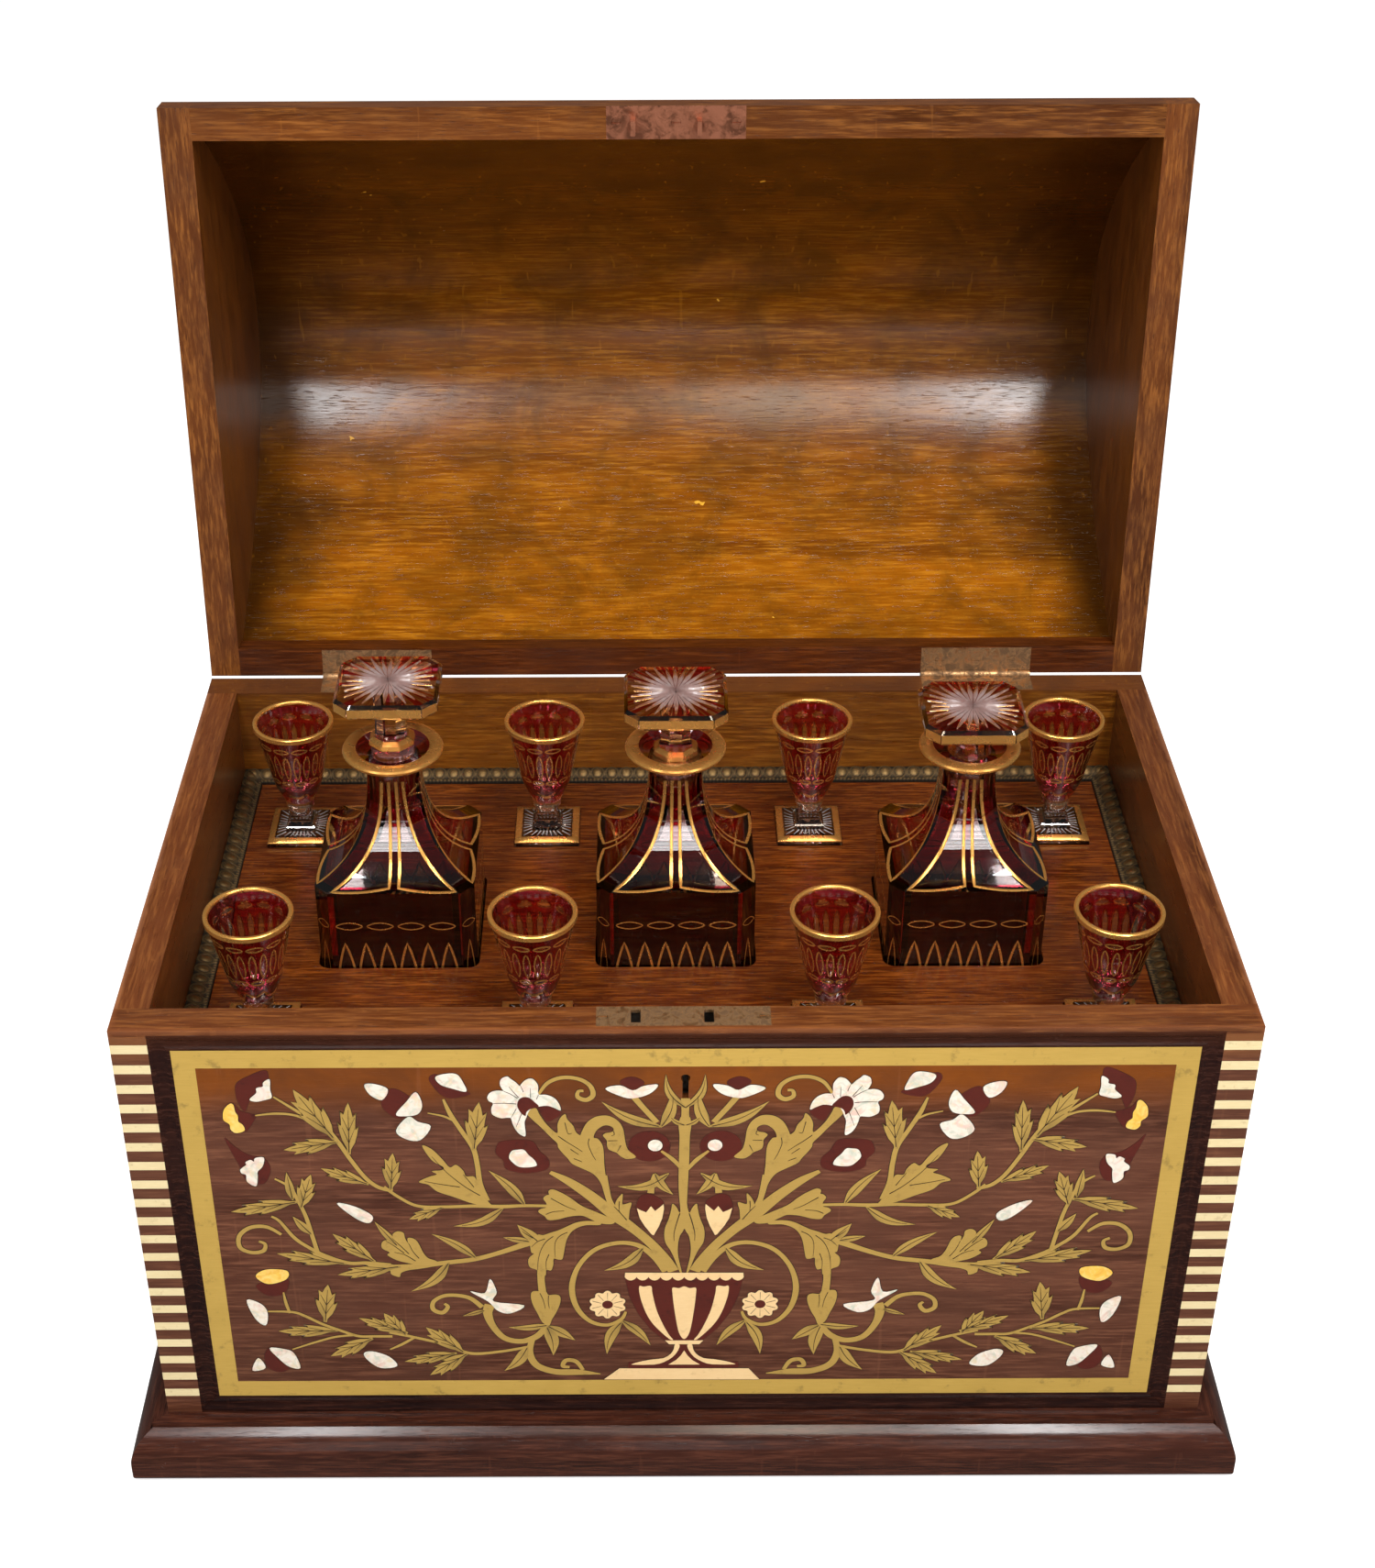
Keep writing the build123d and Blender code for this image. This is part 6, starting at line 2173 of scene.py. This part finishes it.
    def shades(self) -> None:
        """Draws the dark red parts that lie behind the petals."""
        w, shape = Window.MIDDLE, self.inlay.shape
        a = bearings(24)
        oval = np.stack([np.cos(a), np.sin(a)], -1)
        shape("red_wood", w, np.array([925.0, 555.0]) + oval * [75.0, 54.0], 0.3, soft=0)
        shape("red_wood", w, [820, 325, 860, 308, 905, 325, 890, 350, 850, 352], 0.3)
        shape("red_wood", w, [140, 320, 170, 300, 250, 350, 285, 370, 200, 382], 0.3)
        w = Window.DAISY
        shape("red_wood", w, [
            280, 1180, 340, 1110, 600, 1085, 800, 1110, 900, 1250, 1020, 1360, 1000, 1500,
            700, 1560, 420, 1500, 380, 1380, 270, 1280], 0.3)
        shape("red_wood", w, [
            880, 620, 1000, 595, 1100, 630, 1200, 665, 1170, 740, 1080, 800, 1000, 822, 950, 760],
            0.3)
        shape("red_wood", Window.CROCUS, [
            640, 190, 700, 60, 800, 30, 900, 50, 1000, 110, 1035, 170, 1010, 320, 840, 400,
            660, 330], 0.3)
        w = Window.CORNER
        shape("red_wood", w, [
            350, 180, 440, 120, 600, 60, 640, 120, 620, 300, 480, 330, 430, 430, 370, 350,
            345, 270], 0.3)
        shape("red_wood", w, [
            330, 370, 380, 420, 480, 450, 530, 470, 480, 560, 430, 610, 360, 560], 0.3)
        shape("red_wood", w, [
            245, 670, 330, 740, 460, 820, 600, 850, 660, 950, 600, 1080, 440, 1040, 380, 920], 0.3)
        w = Window.LEFT
        for points in (
                [870, 340, 900, 300, 950, 320, 975, 350, 930, 392, 885, 370],
                [488, 902, 540, 885, 588, 884, 575, 925, 525, 932],
                [515, 1110, 540, 1092, 590, 1150, 560, 1165, 525, 1150]):
            shape("red_wood", w, points, 0.3)

    def flowers(self) -> None:
        """Draws the flowers' pearl, amber and cream petals and the daisy's dark eye."""
        w, shape, vein = Window.MIDDLE, self.inlay.shape, self.inlay.vein
        self.inlay.flower(w, np.array([777.0, 1119.0]), (66, 49), 10)
        a = bearings(24)
        oval = np.stack([np.cos(a), np.sin(a)], -1)
        shape("pearl", w, np.array([946.0, 552.0]) + oval * [26.0, 20.0], soft=0)
        shape("pearl", w, [
            866, 384, 822, 376, 768, 350, 820, 338, 866, 356, 905, 340, 956, 336, 925, 368])
        shape("pearl", w, [
            288, 1072, 340, 1078, 358, 1028, 382, 1075, 372, 1108, 480, 1122, 430, 1150, 385, 1140,
            352, 1108])
        shape("pearl", w, [162, 308, 205, 296, 240, 300, 262, 330, 272, 360, 225, 350, 180, 335])
        shape("pearl", w, [22, 440, 60, 395, 92, 362, 115, 405, 100, 440, 50, 448])
        shape("pearl", w, [22, 500, 65, 450, 100, 468, 146, 484, 110, 532, 60, 530])
        shape("cream", Window.CROCUS, [
            650, 228, 700, 255, 780, 288, 850, 200, 910, 268, 1030, 170, 1035, 240, 1010, 370,
            960, 490, 890, 612, 860, 600, 760, 480, 690, 370], soft=0)
        w = Window.DAISY
        shape("pearl", w, [
            1195, 662, 1165, 560, 1090, 480, 980, 440, 890, 440, 872, 400, 868, 300, 800, 218,
            735, 212, 670, 245, 625, 295, 605, 312, 550, 262, 480, 215, 430, 180, 345, 215,
            325, 285, 350, 345, 375, 385, 290, 380, 195, 405, 148, 468, 165, 525, 228, 562,
            205, 635, 212, 705, 250, 740, 340, 772, 420, 768, 482, 772, 505, 840, 545, 925,
            605, 995, 690, 1030, 688, 920, 680, 830, 705, 765, 760, 650, 870, 612, 1000, 595,
            1100, 625])
        for line in (
                [595, 480, 520, 400, 455, 325], [765, 480, 760, 345],
                [662, 400, 640, 350, 618, 305], [580, 490, 480, 430, 378, 388],
                [560, 570, 400, 560, 232, 562], [850, 500, 878, 440],
                [560, 640, 520, 710, 484, 770], [640, 700, 600, 800, 560, 900]):
            vein(w, line, 0.35)
        shape("red_wood", w, [
            575, 600, 590, 520, 650, 475, 740, 480, 820, 540, 880, 610, 760, 645, 705, 690,
            690, 742, 620, 690], 0.0)
        shape("pearl", w, [
            460, 1310, 500, 1240, 580, 1225, 670, 1225, 740, 1300, 820, 1370, 855, 1440, 800, 1465,
            700, 1475, 600, 1465, 530, 1420, 470, 1360])
        w = Window.CORNER
        shape("pearl", w, [
            470, 320, 530, 262, 530, 220, 588, 205, 592, 168, 650, 140, 655, 230, 670, 300,
            620, 322, 530, 340])
        shape("amber", w, [
            230, 470, 240, 410, 290, 360, 325, 370, 340, 430, 365, 470, 370, 520, 410, 550,
            425, 600, 350, 622, 300, 590, 290, 545, 240, 510])
        shape("pearl", w, [
            390, 950, 440, 910, 435, 885, 480, 865, 510, 880, 522, 848, 600, 845, 590, 920,
            545, 970, 545, 1020, 530, 1100, 450, 1060, 440, 1000, 400, 985])
        w = Window.LEFT
        for points in (
                [818, 288, 850, 286, 890, 302, 872, 334, 835, 318],
                [735, 650, 790, 660, 843, 688, 832, 710, 790, 694],
                [460, 945, 505, 958, 524, 985, 518, 1022, 485, 1000],
                [530, 1092, 575, 1095, 605, 1108, 624, 1152, 590, 1148, 560, 1125],
                [478, 1160, 495, 1122, 518, 1152],
                [818, 1108, 845, 1102, 895, 1118, 920, 1146, 870, 1152, 832, 1130]):
            shape("pearl", w, points)
        shape("amber", w, [487, 872, 520, 852, 583, 856, 580, 882, 525, 896])

    def urn(self) -> None:
        """Draws the urn: a fluted bowl under a scalloped rim, a neck, a foot and a plinth."""
        w, shape = Window.URN, self.inlay.shape
        shape("red_wood", w, [
            70, 240, 789, 240, 789, 1040, 640, 1030, 540, 1000, 380, 870, 230, 680, 130, 480], 0.3,
            soft=0)
        shape("red_wood", w, [
            789, 1050, 700, 1060, 650, 1180, 540, 1240, 120, 1275, 110, 1345, 789, 1345], 0.3,
            soft=0)
        x = np.linspace(72.0, 1506.0, 181)
        low = 245 + 42 * np.abs(np.sin((x - 72) / 1434 * math.pi * 10)) ** 0.7
        rim = np.vstack([np.stack([x, low], -1), [(1500, 196), (78, 196)]])
        shape("cream", w, rim, mirror=False, soft=0)
        shape("cream", w, [
            250, 355, 300, 362, 390, 356, 405, 440, 455, 640, 535, 820, 605, 940, 655, 1000,
            600, 985, 430, 830, 335, 690, 275, 540, 248, 430])
        shape("cream", w, [
            650, 375, 725, 380, 789, 358, 853, 380, 928, 375, 930, 450, 910, 620, 870, 850,
            835, 950, 789, 992, 743, 950, 708, 850, 668, 620, 648, 450], mirror=False)
        shape("cream", w, [560, 1010, 1018, 1010, 970, 1055, 608, 1055], mirror=False, soft=0)
        shape("cream", w, [
            678, 1058, 735, 1062, 715, 1130, 650, 1210, 545, 1270, 430, 1300, 170, 1302, 172, 1290,
            260, 1265, 410, 1240, 540, 1225, 630, 1170, 665, 1110], soft=2)
        shape("cream", w, [
            789, 1130, 829, 1190, 885, 1245, 980, 1300, 598, 1300, 693, 1245, 749, 1190],
            mirror=False, soft=0)
        shape("cream", Window.MIDDLE, [
            765, 1385, 820, 1346, 1280, 1346, 1318, 1385], mirror=False, soft=0)


# The studio.

@dataclass
class Lamp:
    """A soft rectangular light that looks at the cabinet."""

    name: str
    place: tuple[float, float, float]
    aim: tuple[float, float, float]
    size: tuple[float, float]
    power: float
    colour: Colour = (1.0, 1.0, 1.0)
    spread: float = math.pi

    def build(self) -> None:
        """Adds the light."""
        data = bpy.data.lights.new(self.name, "AREA")
        data.shape, data.size, data.size_y = "RECTANGLE", *self.size
        data.energy, data.color, data.spread = self.power, self.colour, self.spread
        made = bpy.data.objects.new(self.name, data)
        made.location = self.place
        made.rotation_euler = (made.location - Vector(self.aim)).to_track_quat("Z", "Y").to_euler()
        bpy.context.scene.collection.objects.link(made)


@dataclass
class Studio:
    """A pale floor and backdrop, keys at the sides, soft boxes overhead and small glint lamps."""

    sky: float = 0.45
    sheen: float = 0.1
    key_power: float = 5.0
    glint_columns: tuple[float, ...] = (-0.33, 0.03, 0.37)
    glint_heights: tuple[float, ...] = (0.2875, 0.4375, 0.5875, 0.7375, 0.8875, 1.0375)
    glint_power: float = 0.006
    glint_spread: float = 0.33
    floor_half: float = 6.0
    floor_glow: float = 0.55

    def lamps(self) -> list[Lamp]:
        """The lights: two keys, three soft boxes overhead and glints for the shoulders.

        Returns:
            The lamps, not yet in the scene.
        """
        keys = [Lamp(f"key_{side}", (x, -1.35, 0.75), (0.0, 0.0, 0.2), (0.6, 1.0), self.key_power)
                for side, x in (("left", -1.15), ("right", 1.15))]
        boxes = [Lamp("left_softbox", (-0.44, -0.65, 1.84), (-0.44, 0.1, 0.3), (0.14, 1.1), 13.0),
                 Lamp("middle_softbox", (0.15, -0.65, 1.84), (0.15, 0.1, 0.3), (0.16, 1.1), 6.0,
                      (1.0, 0.88, 0.7)),
                 Lamp("right_softbox", (0.48, -0.65, 1.84), (0.48, 0.1, 0.3), (0.12, 1.1), 17.0)]
        glints = [Lamp(f"glint_{row}_{place}", (x, -1.5, z), (x / 2.4, -0.03, 0.21), (0.16, 0.15),
                       self.glint_power, spread=self.glint_spread)
                  for row, z in enumerate(self.glint_heights, start=1)
                  for place, x in enumerate(self.glint_columns, start=1)]
        return keys + boxes + glints

    def build(self) -> None:
        """Builds the floor, the world and the lamps."""
        self.floor()
        self.world()
        for lamp in self.lamps():
            lamp.build()

    def floor(self) -> None:
        """Adds a wide pale floor: plain white to the camera, but for the cabinet's shadow."""
        size = self.floor_half
        mesh = bpy.data.meshes.new("pale_floor")
        corners = [(-size, -size, 0), (size, -size, 0), (size, size, 0), (-size, size, 0)]
        mesh.from_pydata(corners, [], [(0, 1, 2, 3)])
        made = bpy.data.objects.new("pale_floor", mesh)
        bpy.context.scene.collection.objects.link(made)
        tree = Surface("pale_floor")
        tree.feed("Roughness", 0.9)
        tree.feed("Specular IOR Level", 0.0)
        path = tree.add("LightPath").outputs
        tone = tree.blend(path["Is Glossy Ray"], (0.9, 0.9, 0.9), (0.12, 0.12, 0.12))
        tree.feed("Base Color", tone)
        seen = tree.maths("MAXIMUM", path["Is Camera Ray"], path["Is Transmission Ray"])
        tree.feed("Emission Color", (1.0, 1.0, 1.0, 1.0))
        tree.feed("Emission Strength", tree.times(seen, self.floor_glow))
        mesh.materials.append(tree.material)

    def world(self) -> None:
        """Makes the surroundings white to the camera and a plain level to everything else."""
        world = bpy.data.worlds.new("studio")
        bpy.context.scene.world = world
        world.use_nodes = True
        tree = Tree(world.node_tree)
        back = world.node_tree.nodes["Background"]
        back.inputs["Color"].default_value = (1.0, 1.0, 1.0, 1.0)
        path = tree.add("LightPath").outputs
        seen = tree.maths("MULTIPLY_ADD", path["Is Camera Ray"], 1.0 - self.sky, self.sky)
        seen = tree.maths("MULTIPLY_ADD", path["Is Glossy Ray"], self.sheen - self.sky, seen)
        tree.wire(seen, back, "Strength")


# Each decanter's x and how far its stopper stands over its seat, and the glasses' places.
DECANTERS = ((-142.0, 6.6), (-2.8, 0.0), (142.0, -9.0))
GLASS_ROWS = (84.2, -88.2)
GLASS_COLUMNS = (-204.5, -71.0, 71.0, 204.5)


def main() -> None:
    """Builds the pieces in order and reports each one."""
    logging.basicConfig(level=logging.INFO, format="%(message)s")
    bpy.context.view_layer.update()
    bpy.context.scene.view_settings.view_transform = "Standard"
    camera = PhotoCamera()
    camera.build()
    Studio().build()
    build_effect_groups()
    for node, name in NODE_FINISH.items():
        dress(node, name)
    Vault().build()
    BaseMoulding().build()
    TopSlip().build()
    GalleryTrim().build()
    Marquetry(Inlay(camera)).build()
    for number, (x, rise) in enumerate(DECANTERS, start=1):
        Decanter(number, x).build()
        Stopper(number, x, rise).build()
    places = [(x, y) for y in GLASS_ROWS for x in GLASS_COLUMNS]
    for number, (x, y) in enumerate(places, start=1):
        CordialGlass(number, x, y).build()
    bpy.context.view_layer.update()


if __name__ == "__main__":
    main()
